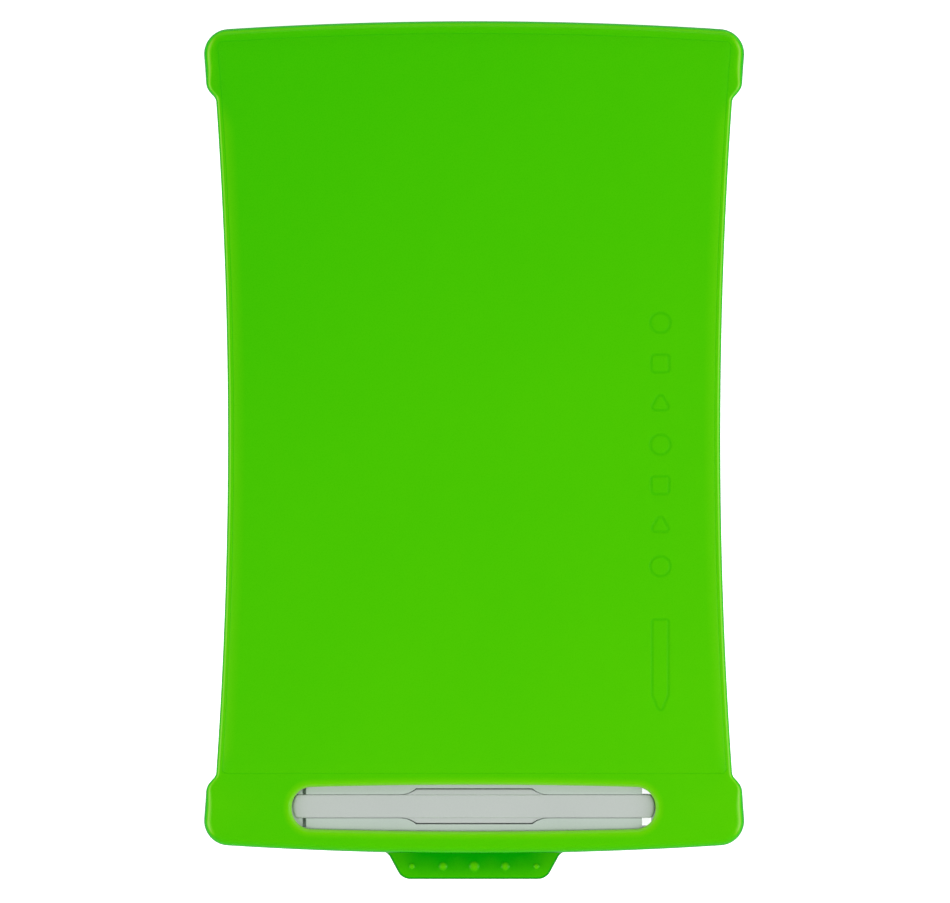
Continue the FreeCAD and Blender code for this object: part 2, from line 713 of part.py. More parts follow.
def cut_stylus_slot(body):
    """Contoured slot that clips the stylus, with a shallow pocket at each end."""
    gap = size("slot_gap")
    half = size("stylus_half") + gap
    tip = size("stylus_half_long") + gap
    arc_x = end_arc_start(half, tip, size("stylus_end_radius") + gap)
    curves = stylus_outline(half, size("wing_half") + size("wing_gap"), size("wing_start") + gap, arc_x, tip)
    sketch = new_sketch(body, y="-dock_y", z="slot_floor")
    sketch.addGeometry(curves)
    close_chain(sketch, 0, len(curves))
    cut_up(body, sketch, "device_top - slot_floor + 1")
    for side in ("", "-"):
        middle = f"{side}(pocket_end + ledge_end) / 2"
        cut_up(body, rectangle(body, "pocket_end - ledge_end", "2 * pocket_half", middle, "-dock_y",
                               "pocket_floor"), "device_top - pocket_floor + 1")
    cut_up(body, rectangle(body, "notch_wide", "2 * pocket_half", "-(ledge_end + notch_wide / 2)",
                           "-dock_y", "notch_floor"), "device_top - notch_floor + 1")
    cut_core_slot(body, "0", "device_top + 1")


def make_front_bezel():
    """Front shell: screen frame, erase-button hole, screw bosses and the stylus dock."""
    body = new_body("front_bezel")
    add_device_block(body, "shell_split", "device_top")
    rim = level_edges(body.Shape, size("device_top"), lambda box: True)
    dress(body, "Fillet", rim, "bezel_edge_round")
    cut_device_inside(body, "shell_split", "plate_under")
    pad(body, rectangle(body, "2 * dock_half_long", "2 * dock_half_high", "0", "-dock_y",
                        "floor_top + 0.05"), "plate_under - floor_top + 0.1")
    for x, y in screw_places():
        pad(body, circle(body, "boss_diameter", x, y, "shell_split + 0.05"), "plate_under - shell_split + 0.1")
        cut_up(body, circle(body, "screw_shank + 0.1", x, y, "shell_split"), "plate_under - shell_split + 0.6")
    cut_up(body, rectangle(body, "screen_wide", "screen_high", "0", "screen_y", "plate_under - 0.5"),
           "device_top - plate_under + 1")
    corners = [(x, y + size("screen_y")) for x, y in
               four_corners(size("screen_wide") / 2, size("screen_high") / 2)]
    round_upright(body, corners, size("plate_under"), size("device_top"), "screen_corner")
    reach = size("screen_wide") / 2 + 0.1
    rim = level_edges(body.Shape, size("device_top"),
                      lambda box: box.XMin > -reach and box.XMax < reach and box.YMin > -88)
    dress(body, "Chamfer", rim, "screen_bevel")
    cut_up(body, rectangle(body, "button_wide + 2 * button_gap", "button_high + 2 * button_gap", "0",
                           "board_y", "plate_under - 0.5"), "device_top - plate_under + 1")
    half_wide = size("button_wide") / 2 + size("button_gap")
    half_high = size("button_high") / 2 + size("button_gap")
    points = [(x, y + size("board_y")) for x, y in four_corners(half_wide, half_high)]
    round_upright(body, points, size("plate_under"), size("device_top"),
                  "button_high / 2 + button_gap - 0.05")
    cut_stylus_slot(body)
    return body


def cut_battery_bay(body):
    """Battery compartment: a thick pad with the door recess, the cell bore and contact grooves."""
    x, y = "-cell_x", "cell_y"
    cut_up(body, rectangle(body, "door_wide + 2 * door_gap", "door_high + 2 * door_gap", x, y, "-1"),
           "1 + door_thick + 0.05")
    half_wide = size("door_wide") / 2 + size("door_gap")
    half_high = size("door_high") / 2 + size("door_gap")
    points = [(px - size("cell_x"), py + size("cell_y")) for px, py in four_corners(half_wide, half_high)]
    round_upright(body, points, 0, size("door_thick") + 0.05, "door_corner + door_gap")
    cut_up(body, circle(body, "cell_bore", x, y, "-1"), "shell_split + 1")
    cut_up(body, rectangle(body, "5.4", "22", x, "cell_y + 9", "shell_split - 0.4"), "1")
    cut_up(body, rectangle(body, "5.4", "9", "-cell_x + 7", "cell_y + 11.5", "floor_top"), "shell_split")
    cut_up(body, circle(body, "1.5", "-cell_x + door_screw_x", y, "-1"), "1 + shell_split - 0.3")


def make_rear_shell():
    """Rear shell: flat back, side walls, ribs, screw bosses, battery bay, core slot."""
    body = new_body("rear_shell")
    add_device_block(body, "0", "shell_split")
    rim = level_edges(body.Shape, 0.0, lambda box: True)
    dress(body, "Fillet", rim, "shell_edge_round")
    cut_device_inside(body, "floor_top", "shell_split")
    rib_low, rib_rise = "floor_top - 0.1", "shell_split - floor_top"
    for x in (-50, 0, 50):
        pad(body, rectangle(body, "1.2", "170", str(x), "screen_y - 2", rib_low), rib_rise)
    for y in (-60, -20, 20, 60):
        pad(body, rectangle(body, "116", "1.2", "0", str(y), rib_low), rib_rise)
    pad(body, rectangle(body, "door_wide + 4", "door_high + 4", "-cell_x", "cell_y", rib_low), rib_rise)
    cut_battery_bay(body)
    for x, y in screw_places():
        pad(body, circle(body, "boss_diameter", x, y, "floor_top - 0.1"), "shell_split - floor_top + 0.1")
        cut_up(body, circle(body, "screw_shank + 0.5", x, y, "-1"), "shell_split + 2")
        cut_up(body, circle(body, "screw_head + 0.4", x, y, "-1"), "1 + screw_sink + 0.9")
    for side in ("-", ""):
        x = f"{side}board_post_x"
        pad(body, circle(body, "3.4", x, "board_y", "floor_top - 0.1"), "shell_split - floor_top + 0.1")
        pad(body, circle(body, "1.5", x, "board_y", "shell_split - 0.1"), "board_thick + 0.6")
    cut_core_slot(body, "-1", "floor_top + 1.5")
    return body


# ---------------------------------------------------------------- display

def slab(label, wide, high, thick, x, y, low):
    """A plain rectangular plate (Part::Box) centred on x and y, all sizes from the sheet."""
    box = doc.addObject("Part::Box", label)
    box.Label = label
    box.setExpression("Length", cell(wide))
    box.setExpression("Width", cell(high))
    box.setExpression("Height", cell(thick))
    box.setExpression("Placement.Base.x", cell(f"{x} - ({wide}) / 2"))
    box.setExpression("Placement.Base.y", cell(f"{y} - ({high}) / 2"))
    box.setExpression("Placement.Base.z", cell(low))
    return box


def make_display():
    """Writing film, liquid crystal, dark backing, support plate and the tape that holds them."""
    wide = "screen_wide + 2 * stack_margin"
    high = "screen_high + 2 * stack_margin"
    film_low = "plate_under - tape_thick - film_thick"
    crystal_low = f"{film_low} - crystal_thick"
    backing_low = f"{crystal_low} - backing_thick"
    outer = slab("tape_outline", wide, high, "tape_thick", "0", "screen_y", "plate_under - tape_thick")
    opening = slab("tape_opening", "screen_wide + 0.6", "screen_high + 0.6", "tape_thick + 1", "0",
                   "screen_y", "plate_under - tape_thick - 0.5")
    tape = doc.addObject("Part::Cut", "adhesive_frame")
    tape.Label = "adhesive_frame"
    tape.Base = outer
    tape.Tool = opening
    film = slab("writing_film", wide, f"{high} + film_tail", "film_thick", "0",
                "screen_y + film_tail / 2", film_low)
    crystal = slab("crystal_layer", f"{wide} - 2", f"{high} - 2", "crystal_thick", "0", "screen_y",
                   crystal_low)
    backing = slab("backing_film", wide, high, "backing_thick", "0", "screen_y", backing_low)
    support = slab("support_plate", wide, high, "support_thick", "0", "screen_y",
                   f"{backing_low} - support_thick")
    return [tape, film, crystal, backing, support]


# ---------------------------------------------------------------- electronics

def make_circuit_board():
    """Circuit board on two posts, under the erase button."""
    body = new_body("circuit_board")
    pad(body, rectangle(body, "board_wide", "board_high", "0", "board_y", "shell_split + 0.02"),
        "board_thick - 0.02")
    for side in ("-", ""):
        cut_up(body, circle(body, "1.8", f"{side}board_post_x", "board_y", "shell_split - 1"),
               "board_thick + 2")
    return body


def make_board_parts():
    """Controller, capacitors, display connector and the base of the dome switch."""
    top = "shell_split + board_thick"
    chip = slab("controller_chip", "6", "5", "0.9", "-26", "board_y", top)
    base = slab("switch_base", "6.2", "6.2", "dome_low - shell_split - board_thick", "0", "board_y", top)
    connector = slab("display_connector", "9", "3.2", "0.9", "26", "board_y - 2.6", top)
    links = [slab(f"capacitor_{n}", "2", "1.25", "0.8", str(x), "board_y + 3", top)
             for n, x in enumerate((-34, -18.5, 18.5), start=1)]
    group = doc.addObject("Part::Compound", "capacitors")
    group.Label = "capacitors"
    group.Links = links
    return [chip, base, connector, group]


def make_switch_dome():
    """Snap dome under the erase button."""
    dome = doc.addObject("Part::Cone", "switch_dome")
    dome.Label = "switch_dome"
    dome.Radius1 = 2.5
    dome.Radius2 = 1.4
    dome.setExpression("Height", cell("dome_top - dome_low"))
    dome.setExpression("Placement.Base.y", cell("board_y"))
    dome.setExpression("Placement.Base.z", cell("dome_low"))
    return dome


def make_display_flex():
    """Thin flat cable from the film's contact ledge to the connector."""
    body = new_body("display_flex")
    sketch = new_sketch(body, "screen_y + (screen_high + 2 * stack_margin) / 2", "shell_split", "22",
                        "YZ_Plane")
    thick = 0.15
    upper = size("plate_under") - size("tape_thick") - size("film_thick") - size("shell_split") - 0.02
    lower = size("board_thick") + 0.45
    near = 0.1
    bend = size("film_tail") + 0.3
    far = size("board_y") - 2.6 - 1.65 - (size("screen_y") + size("screen_high") / 2 + size("stack_margin"))
    path = [(near, upper), (bend, upper), (bend + 0.4, lower), (far, lower)]
    under = [(y, z - thick) for y, z in path]
    sketch.addGeometry(polygon(under + path[::-1]))
    close_chain(sketch, 0, 8)
    pad(body, sketch, "8")
    return body


def make_erase_button():
    """Oval erase button with a retaining skirt under the bezel."""
    body = new_body("erase_button")
    pad(body, rectangle(body, "button_wide + 2 * button_skirt", "button_high + 2 * button_skirt", "0",
                        "board_y", "button_low"), "plate_under - button_low - 0.1")
    pad(body, rectangle(body, "button_wide", "button_high", "0", "board_y", "button_low + 0.1"),
        "button_top - button_low - 0.1")
    half_wide = size("button_wide") / 2
    half_high = size("button_high") / 2
    points = [(x, y + size("board_y")) for x, y in four_corners(half_wide, half_high)]
    round_upright(body, points, size("button_low"), size("button_top"), "button_high / 2 - 0.05")
    rim = level_edges(body.Shape, size("button_top"), lambda box: True)
    dress(body, "Fillet", rim, "0.4")
    return body


# ---------------------------------------------------------------- battery

def make_coin_cell():
    """Coin cell, its large face towards the battery door."""
    can = doc.addObject("Part::Cylinder", "cell_can")
    can.setExpression("Radius", cell("cell_diameter / 2"))
    can.setExpression("Height", cell("cell_thick - 0.2"))
    lid = doc.addObject("Part::Cylinder", "cell_lid")
    lid.setExpression("Radius", cell("cell_diameter / 2 - 1.6"))
    lid.setExpression("Height", cell("cell_thick"))
    fuse = doc.addObject("Part::Fuse", "coin_cell")
    fuse.Label = "coin_cell"
    fuse.Base = can
    fuse.Tool = lid
    for axis, place in zip("xyz", ("-cell_x", "cell_y", "door_thick + 0.1")):
        fuse.setExpression(f"Placement.Base.{axis}", cell(place))
    return fuse


def make_contacts():
    """Two stamped contacts that run from the cell to the underside of the circuit board."""
    minus = new_body("battery_contact_minus")
    pad(minus, rectangle(minus, "4", "20", "-cell_x", "cell_y + 7", "shell_split - 0.3"), "0.25")
    pad(minus, rectangle(minus, "3", "2.4", "-cell_x", "cell_y - 1.5", "shell_split - 0.5"), "0.3")
    plus = new_body("battery_contact_plus")
    pad(plus, rectangle(plus, "4", "5.5", "-cell_x + 7", "cell_y + 12.8", "shell_split - 0.3"), "0.25")
    pad(plus, rectangle(plus, "4", "0.3", "-cell_x + 7", "cell_y + 10.2", "floor_top + 0.2"),
        "shell_split - floor_top - 0.3")
    return [minus, plus]


def make_battery_door():
    """Flush battery door with a hole for its screw."""
    body = new_body("battery_door")
    pad(body, rectangle(body, "door_wide", "door_high", "-cell_x", "cell_y", "0"), "door_thick")
    points = [(x - size("cell_x"), y + size("cell_y")) for x, y in
              four_corners(size("door_wide") / 2, size("door_high") / 2)]
    round_upright(body, points, 0, size("door_thick"), "door_corner")
    cut_up(body, circle(body, "2", "-cell_x + door_screw_x", "cell_y", "-1"), "door_thick + 2")
    cut_up(body, circle(body, "3.4", "-cell_x + door_screw_x", "cell_y", "-1"), "1 + 0.7")
    cut_up(body, rectangle(body, "1.2", "9", "-cell_x - door_wide / 2 + 2.4", "cell_y", "-1"), "1.5")
    return body


def make_screw(label, x, y, low, head, head_thick, shank, long):
    """Self-tapping screw, head down, with a cross recess."""
    head_part = doc.addObject("Part::Cylinder", label + "_head")
    head_part.setExpression("Radius", cell(f"({head}) / 2"))
    head_part.setExpression("Height", head_thick)
    shank_part = doc.addObject("Part::Cylinder", label + "_shank")
    shank_part.setExpression("Radius", cell(f"({shank}) / 2"))
    shank_part.setExpression("Height", cell(long))
    solid = doc.addObject("Part::Fuse", label + "_blank")
    solid.Base = head_part
    solid.Tool = shank_part
    for turn in (0, 1):
        slot = doc.addObject("Part::Box", f"{label}_slot_{turn}")
        slot.setExpression("Length", cell(f"({head}) * 0.6"))
        slot.Width = 0.4
        slot.setExpression("Height", f"{head_thick} * 0.5 + 1")
        middle = FreeCAD.Vector(-size_of(slot, "Length") / 2, -0.2, -1)
        turned = FreeCAD.Rotation(Vector(0, 0, 1), 90 * turn)
        slot.Placement = FreeCAD.Placement(turned.multVec(middle), turned)
        cut = doc.addObject("Part::Cut", f"{label}_cut_{turn}")
        cut.Base = solid
        cut.Tool = slot
        solid = cut
    solid.Label = label
    for axis, place in zip("xyz", (x, y, low)):
        solid.setExpression(f"Placement.Base.{axis}", cell(place))
    return solid


def size_of(item, name):
    """Value of a length property after a recompute."""
    doc.recompute()
    return float(getattr(item, name).Value)


def make_screws():
    """Battery-door screw and the group of housing screws."""
    door = make_screw("battery_door_screw", "-cell_x + door_screw_x", "cell_y", "0.05", "3.2", "0.6",
                      "1.4", "2.6")
    screws = [make_screw(f"housing_screw_{n + 1}", x, y, "screw_sink", "screw_head", "0.85",
                         "screw_shank", "plate_under - screw_sink + 0.3")
              for n, (x, y) in enumerate(screw_places())]
    group = doc.addObject("Part::Compound", "housing_screws")
    group.Label = "housing_screws"
    group.Links = screws
    return [door, group]


# ---------------------------------------------------------------- build and export

def check_document():
    """Stops if any object of the document failed to compute."""
    for item in doc.Objects:
        if "Invalid" in item.State or "Error" in item.State:
            raise RuntimeError(f"{item.Label} did not compute: {item.State}")


def export(nodes):
    """Writes each sub-part to its own STEP file, named after its label."""
    os.makedirs("parts", exist_ok=True)
    for node in nodes:
        shape = node.Shape
        if shape.isNull() or not shape.isValid():
            raise RuntimeError(f"{node.Label} has no valid shape")
        shape.exportStep(f"parts/{node.Label}.step")
        print(f"{node.Label}: {len(shape.Solids)} solid(s), {shape.Volume:.1f} mm3")


nodes = [make_screen_cover(), make_front_bezel(), make_rear_shell()]
nodes += make_display()
nodes += [make_circuit_board(), make_switch_dome(), make_display_flex(), make_erase_button()]
nodes += make_board_parts()
nodes += [make_coin_cell(), make_battery_door()]
nodes += make_contacts() + make_screws()
nodes += [make_stylus_barrel(), make_stylus_tip()]
doc.recompute()
check_document()
export(nodes)
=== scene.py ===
"""Studio scene for the children's LCD writing tablet: materials, light and camera."""
import json
import math

import bpy
import numpy as np
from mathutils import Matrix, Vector
from mathutils.geometry import delaunay_2d_cdt


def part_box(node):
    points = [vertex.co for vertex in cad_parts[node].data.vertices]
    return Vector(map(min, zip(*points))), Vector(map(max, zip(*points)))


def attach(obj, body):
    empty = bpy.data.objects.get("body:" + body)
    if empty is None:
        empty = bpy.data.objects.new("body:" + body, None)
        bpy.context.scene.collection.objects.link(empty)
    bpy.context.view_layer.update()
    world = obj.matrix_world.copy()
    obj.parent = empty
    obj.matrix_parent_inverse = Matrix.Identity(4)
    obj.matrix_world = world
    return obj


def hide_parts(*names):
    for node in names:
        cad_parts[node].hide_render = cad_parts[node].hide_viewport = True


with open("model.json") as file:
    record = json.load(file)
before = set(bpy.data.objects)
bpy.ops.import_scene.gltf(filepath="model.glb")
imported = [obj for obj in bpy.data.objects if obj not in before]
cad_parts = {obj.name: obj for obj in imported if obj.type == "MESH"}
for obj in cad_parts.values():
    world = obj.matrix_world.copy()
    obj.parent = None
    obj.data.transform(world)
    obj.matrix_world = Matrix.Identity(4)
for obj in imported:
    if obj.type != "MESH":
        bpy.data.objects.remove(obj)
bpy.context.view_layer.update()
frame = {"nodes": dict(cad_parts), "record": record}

# ---------------------------------------------------------------- driving values

MM = 0.001

# view (metres)
VIEW_WIDE = 0.2575                 # width of the floor that the picture takes in
VIEW_CENTRE = (0.00023, -0.00387)  # what the middle of the picture looks at
CAMERA_FAR = 1.30                  # camera height above the screen cover
SENSOR = 36.0                      # in millimetres

# screen cover, in millimetres as in the CAD model
COVER_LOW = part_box("screen_cover")[0] / MM
COVER_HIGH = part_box("screen_cover")[1] / MM
COVER_TOP = COVER_HIGH.z
HAIR = 0.02                        # visual shapes end this far inside the CAD model's
CROWN_HALF = COVER_HIGH.y - HAIR   # centre to the top of the end arcs
TAB_REACH = -COVER_LOW.y - HAIR
WALL_FOOT = COVER_LOW.z
PLATE_UNDER = 7.45                 # underside of the cover's plate
WAIST_HALF = 66.83
SIDE_RADIUS = 1306.0               # long concave sides
CROWN_RADIUS = 1050.0              # end arcs
EAR_OUT = 2.4                      # how far the corner ears stand out
STEP_IN_Y = 91.75                  # where the step of an ear meets the long side
STEP_OUT_Y = 94.75                 # where the step meets the ear
STEP_IN_ROUND = 2.5
STEP_OUT_ROUND = 4.5
COVER_CORNER = 6.8
WALL_END_Y = 93.2                  # the end walls stop here, the long sides are open
WALL_THICK = 2.13
EAR_POCKET_X = 60.0                # inside an ear the inner face follows the housing's long side
EAR_POCKET_Y = 104.0
HOUSING_GAP = 0.27
SIDE_ROUND = 1.2                   # round of the front edge along the long sides
END_ROUND = 2.35                   # and round the ends
ROUND_CHANGE = (92.0, 101.0)       # heights between which one grows into the other
# painted shade at the foot of the cover's walls, inside and outside
INNER_FOOT_PAINTED_SHADE = -0.5
OUTER_FOOT_PAINTED_SHADE = -1.4
PANEL_SIDE_INSET = 1.62            # fine groove that frames the flat panel
PANEL_TOP_INSET = 3.55
PANEL_FOOT_Y = -91.15
PANEL_CORNER = 1.2
GROOVE_HALF = 0.18                 # half width of the groove
GROOVE_DEEP = 0.035
# painted shade down in the groove
GROOVE_PAINTED_SHADE = -0.26
BORDER_PAINTED_GLOW = 0.2
BORDER_WIDE = 3.2                  # painted light: paler border just inside the groove
BORDER_X = (45.0, 64.0)            # it fades in between these distances from the centre line
BORDER_Y = (84.0, 93.0)            # and out between these distances from the middle
WINDOW_X = -0.15                   # stylus window
WINDOW_Y = -100.6
WINDOW_LONG = 49.35
WINDOW_HIGH = 6.3
WINDOW_RADIUS = 1600.0
WINDOW_CORNER = 5.4
WINDOW_ROUND = 1.2
PAINTED_GLOW_REACH = 2.45                  # how far the painted glow, a paler green, spreads around the window
WINDOW_PAINTED_GLOW = 0.3                  # painted glow at the brink of the window's rim
TAB_ROOT_HALF = 23.7               # thumb tab
TAB_TIP_HALF = 19.6
TAB_TOP = 4.2
TAB_CORNER = 3.8
TAB_ROOT_ROUND = 3.0
TAB_EDGE_ROUND = 0.7
TAB_PAINTED_SHADOW = (1.6, 6.2)             # painted shadow: deep green fades out between these distances from the end wall
TAB_ASIDE = (13.0, 23.0)           # and between these distances from the centre line
BUMP_Y = -116.75
BUMP_PITCH = 8.47
BUMP_RADII = (1.3, 1.08, 0.75)     # middle, next, outer
BUMP_PAINTED_HIGHLIGHT = 0.2                    # painted highlight at the top of a bump
RELIEF_X = 50.5                    # decor column
RELIEF_FIRST_Y = 31.0
RELIEF_PITCH = 11.0
RELIEF_COUNT = 7
RELIEF_HALF = 0.55                 # half width of the sunk outlines
RELIEF_DEEP = 0.07
# painted shade down in the sunk outlines
RELIEF_PAINTED_SHADE = -0.26
CIRCLE_RADIUS = 2.7
SQUARE_REACH = 3.4                 # centre to corner
TRIANGLE_REACH = 3.3
SHAPE_CORNER = 0.9
PENCIL_Y = -62.0
PENCIL_HALF = 2.2
PENCIL_TOP = 12.6
PENCIL_SHOULDER = -7.9             # where the pencil begins to taper
PENCIL_POINT = -13.2
PENCIL_CORNER = 0.8

# stylus, in millimetres
STYLUS_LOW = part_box("stylus_barrel")[0] / MM
STYLUS_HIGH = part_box("stylus_barrel")[1] / MM
DOCK_Y = (STYLUS_LOW.y + STYLUS_HIGH.y) / 2
STYLUS_HALF = 3.15
STYLUS_END_RADIUS = 5.2
WING_HALF = STYLUS_HIGH.y - DOCK_Y - 0.01
WING_START = 15.7
WING_BLEND = 4.4
WING_DROP = 0.3
WING_EDGES = (0.5, 0.3, 0.25)      # back round, front reach, front drop
STYLUS_BACK_ROUND = 0.8
STYLUS_EDGE = (0.4, 0.3)           # reach and drop of the front edge along the stylus
STYLUS_END_EDGE = (1.0, 0.35)      # and at the middle of its ends
END_ROLL = (1.3, 0.6)              # distances from an end between which its edge begins to roll
STYLUS_CORNER = 0.9
STYLUS_REACH = STYLUS_HIGH.x - HAIR
TIP_SEAM = STYLUS_LOW.x
TIP_EXTRA = 0.25                   # the writing tip reaches this much further than the other end

# rounded edges: steps, and painted shade and highlight over an edge, foot (0 degrees) to face (90
# degrees)
SUPPORT = 0.08                     # width of the flat strips beside rounded edges
QUARTER = np.linspace(0, math.pi / 2, 11)
RIM_ANGLES = (0, 18, 36, 45, 54, 63, 72, 81, 90)
# painted shade below zero at an edge's foot, painted highlight above zero part way up the sides
SIDE_PAINTED_SHADING = (-2.0, -1.8, -0.9, -0.45, 0.25, 1.0, 0.55, 0.16, 0.08)
TOP_PAINTED_SHADING = (-2.0, -1.7, -0.75, 0.0, 0.26, 0.2, 0.1, 0.06, 0.03)
FOOT_PAINTED_SHADING = (-2.0, -1.6, -0.6, -0.35, -0.22, -0.12, -0.06, 0.0, 0.0)

# sections: of a sunk line as (offset, depth), of a grip bump as (radius, rise)
CHANNEL_PROFILE = ((-1.0, 0.0), (-0.7, 0.45), (-0.3, 0.95), (0.0, 1.0),
                   (0.3, 0.95), (0.7, 0.45), (1.0, 0.0))
BUMP_PROFILE = ((1.2, 0.0), (1.07, 0.03), (0.94, 0.11), (0.75, 0.2), (0.5, 0.26), (0.28, 0.285))

# light
WORLD_HORIZON = 0.58
WORLD_ZENITH = 0.024
FLOOR_GLOW = 0.8
KEY_POWER = 5.2
LEFT_POWER = 10.6
RIGHT_POWER = 13.4


def linear(red, green, blue):
    """Linear colour of an sRGB colour given in 0..255."""
    def decode(value):
        value = value / 255.0
        return value / 12.92 if value <= 0.04045 else ((value + 0.055) / 1.055) ** 2.4

    return (decode(red), decode(green), decode(blue), 1.0)


# ---------------------------------------------------------------- material helpers

class Material:
    """A Principled material with short-hand for the nodes that every surface here needs."""

    def __init__(self, name):
        self.data = bpy.data.materials.new(name)
        self.data.use_nodes = True
        self.nodes = self.data.node_tree.nodes
        self.links = self.data.node_tree.links
        self.shader = self.nodes["Principled BSDF"]
        self.place = self.nodes.new("ShaderNodeTexCoord").outputs["Object"]

    def set(self, **values):
        """Constants on the shader's own sockets; underscores stand for spaces."""
        for name, value in values.items():
            self.shader.inputs[name.replace("_", " ")].default_value = value
        return self

    def noise(self, scale, detail=2.0, roughness=0.5, stretch=None):
        """Noise over object space; scale is in features per metre."""
        node = self.nodes.new("ShaderNodeTexNoise")
        node.inputs["Scale"].default_value = scale
        node.inputs["Detail"].default_value = detail
        node.inputs["Roughness"].default_value = roughness
        place = self.place
        if stretch:
            mapping = self.nodes.new("ShaderNodeMapping")
            mapping.inputs["Scale"].default_value = stretch
            self.links.new(place, mapping.inputs["Vector"])
            place = mapping.outputs["Vector"]
        self.links.new(place, node.inputs["Vector"])
        return node.outputs["Fac"]

    def spread(self, value, low, high, start=0.3, end=0.7):
        """Maps a value that runs from start to end onto the range from low to high."""
        node = self.nodes.new("ShaderNodeMapRange")
        node.inputs["From Min"].default_value = start
        node.inputs["From Max"].default_value = end
        node.inputs["To Min"].default_value = low
        node.inputs["To Max"].default_value = high
        self.links.new(value, node.inputs["Value"])
        return node.outputs["Result"]

    def ramp(self, value, *stops):
        """Colour ramp through (position, colour) stops."""
        node = self.nodes.new("ShaderNodeValToRGB")
        elements = node.color_ramp.elements
        while len(elements) < len(stops):
            elements.new(0.5)
        for element, (position, colour) in zip(elements, stops):
            element.position = position
            element.color = colour
        self.links.new(value, node.inputs["Fac"])
        return node.outputs["Color"]

    def blend(self, factor, first, second):
        """Mixes two colours; each is a socket or a constant."""
        node = self.nodes.new("ShaderNodeMix")
        node.data_type = "RGBA"
        for index, value in ((0, factor), (6, first), (7, second)):
            if hasattr(value, "is_output"):
                self.links.new(value, node.inputs[index])
            else:
                node.inputs[index].default_value = value
        return node.outputs[2]

    def along(self, direction):
        """Distance along a direction in object space; the direction's length scales it."""
        node = self.nodes.new("ShaderNodeVectorMath")
        node.operation = "DOT_PRODUCT"
        node.inputs[1].default_value = direction
        self.links.new(self.place, node.inputs[0])
        return node.outputs["Value"]

    def attribute(self, name):
        """A number stored on the mesh's points; 0 where a mesh has none."""
        node = self.nodes.new("ShaderNodeAttribute")
        node.attribute_name = name
        return node.outputs["Fac"]

    def bump(self, height, strength, distance):
        """Fine relief from a height value."""
        node = self.nodes.new("ShaderNodeBump")
        node.inputs["Strength"].default_value = strength
        node.inputs["Distance"].default_value = distance
        self.links.new(height, node.inputs["Height"])
        self.links.new(node.outputs["Normal"], self.shader.inputs["Normal"])

    def drive(self, socket, value):
        """Links a value to one of the shader's sockets."""
        self.links.new(value, self.shader.inputs[socket])


def green_cover():
    """Fine matt polypropylene, slightly translucent, with painted light and shade in its colour.

    Painted light makes it lighter and warmer towards the lower right. A number on the mesh's points
    paints more: -2 dark olive shade, -1 deep green shade, 0 as is, 0.35 a warm glow, 1 a pale
    highlight.
    """
    m = Material("green_cover").set(IOR=1.45, Specular_IOR_Level=0.08)
    m.set(Subsurface_Weight=0.22, Subsurface_Radius=(0.6, 1.0, 0.1), Subsurface_Scale=0.0016)
    cloud = m.noise(14.0, 3.0, 0.55)
    grain = m.noise(2600.0, 2.0, 0.6)
    # painted light: the green grows lighter and warmer towards the lower right
    painted_light_gradient = m.spread(m.along((3.2, -3.6, 0.0)), 0.0, 1.0, -0.55, 0.5)
    base = m.ramp(painted_light_gradient, (0.0, linear(58, 190, 0)), (1.0, linear(82, 200, 0)))
    base = m.blend(m.spread(cloud, 0.0, 0.18), base, linear(50, 186, 0))
    base = m.blend(m.spread(grain, 0.0, 0.16), base, linear(92, 206, 0))
    # painted shade and light, read from a number on each of the mesh's points
    painted_shading = m.attribute("painted_shading")
    # painted shade: deep green, and dark olive deeper still
    deep = linear(0, 168, 0)
    painted_shade_olive = linear(28, 80, 4)
    # painted light: a warm glow, up to a pale highlight
    painted_light_green = m.ramp(painted_shading, (0.0, linear(96, 203, 0)), (0.4, linear(106, 205, 8)),
                  (1.0, linear(138, 210, 70)))
    base = m.blend(m.spread(painted_shading, 1.0, 0.0, -1.0, 0.0), base, deep)
    base = m.blend(m.spread(painted_shading, 1.0, 0.0, -2.0, -1.0), base, painted_shade_olive)
    base = m.blend(m.spread(painted_shading, 0.0, 1.0, 0.0, 0.35), base, painted_light_green)
    m.drive("Base Color", base)
    m.drive("Roughness", m.spread(grain, 0.25, 0.33))
    m.bump(grain, 0.08, 0.00005)
    return m.data


def moulded_grey(name, dark, light):
    """Fine matt moulded ABS between two greys."""
    m = Material(name).set(IOR=1.5)
    cloud = m.noise(30.0, 2.0)
    grain = m.noise(2200.0, 2.0, 0.6)
    m.drive("Base Color", m.blend(0.4, m.ramp(cloud, (0.3, dark), (0.7, light)),
                                  m.ramp(grain, (0.3, dark), (0.7, light))))
    m.drive("Roughness", m.spread(grain, 0.38, 0.50))
    m.bump(grain, 0.08, 0.00004)
    return m.data


def plain_detail(name, dark, light, scale, rough, metallic=0.0, stretch=None, bump=0.06):
    """Two-tone material with grain, for the small inner pieces."""
    m = Material(name).set(Metallic=metallic)
    grain = m.noise(scale, 3.0, 0.6, stretch)
    m.drive("Base Color", m.ramp(grain, (0.3, dark), (0.7, light)))
    m.drive("Roughness", m.spread(grain, *rough))
    m.bump(grain, bump, 0.00004)
    return m.data


def floor_white():
    """Pale light-table surface: it stays white all around the object."""
    m = Material("floor_white").set(Roughness=0.75)
    grain = m.noise(60.0, 2.0)
    m.drive("Base Color", m.ramp(grain, (0.3, (0.86, 0.86, 0.86, 1)), (0.7, (0.88, 0.88, 0.88, 1))))
    m.set(Emission_Color=(1.0, 1.0, 1.0, 1.0), Emission_Strength=FLOOR_GLOW)
    return m.data


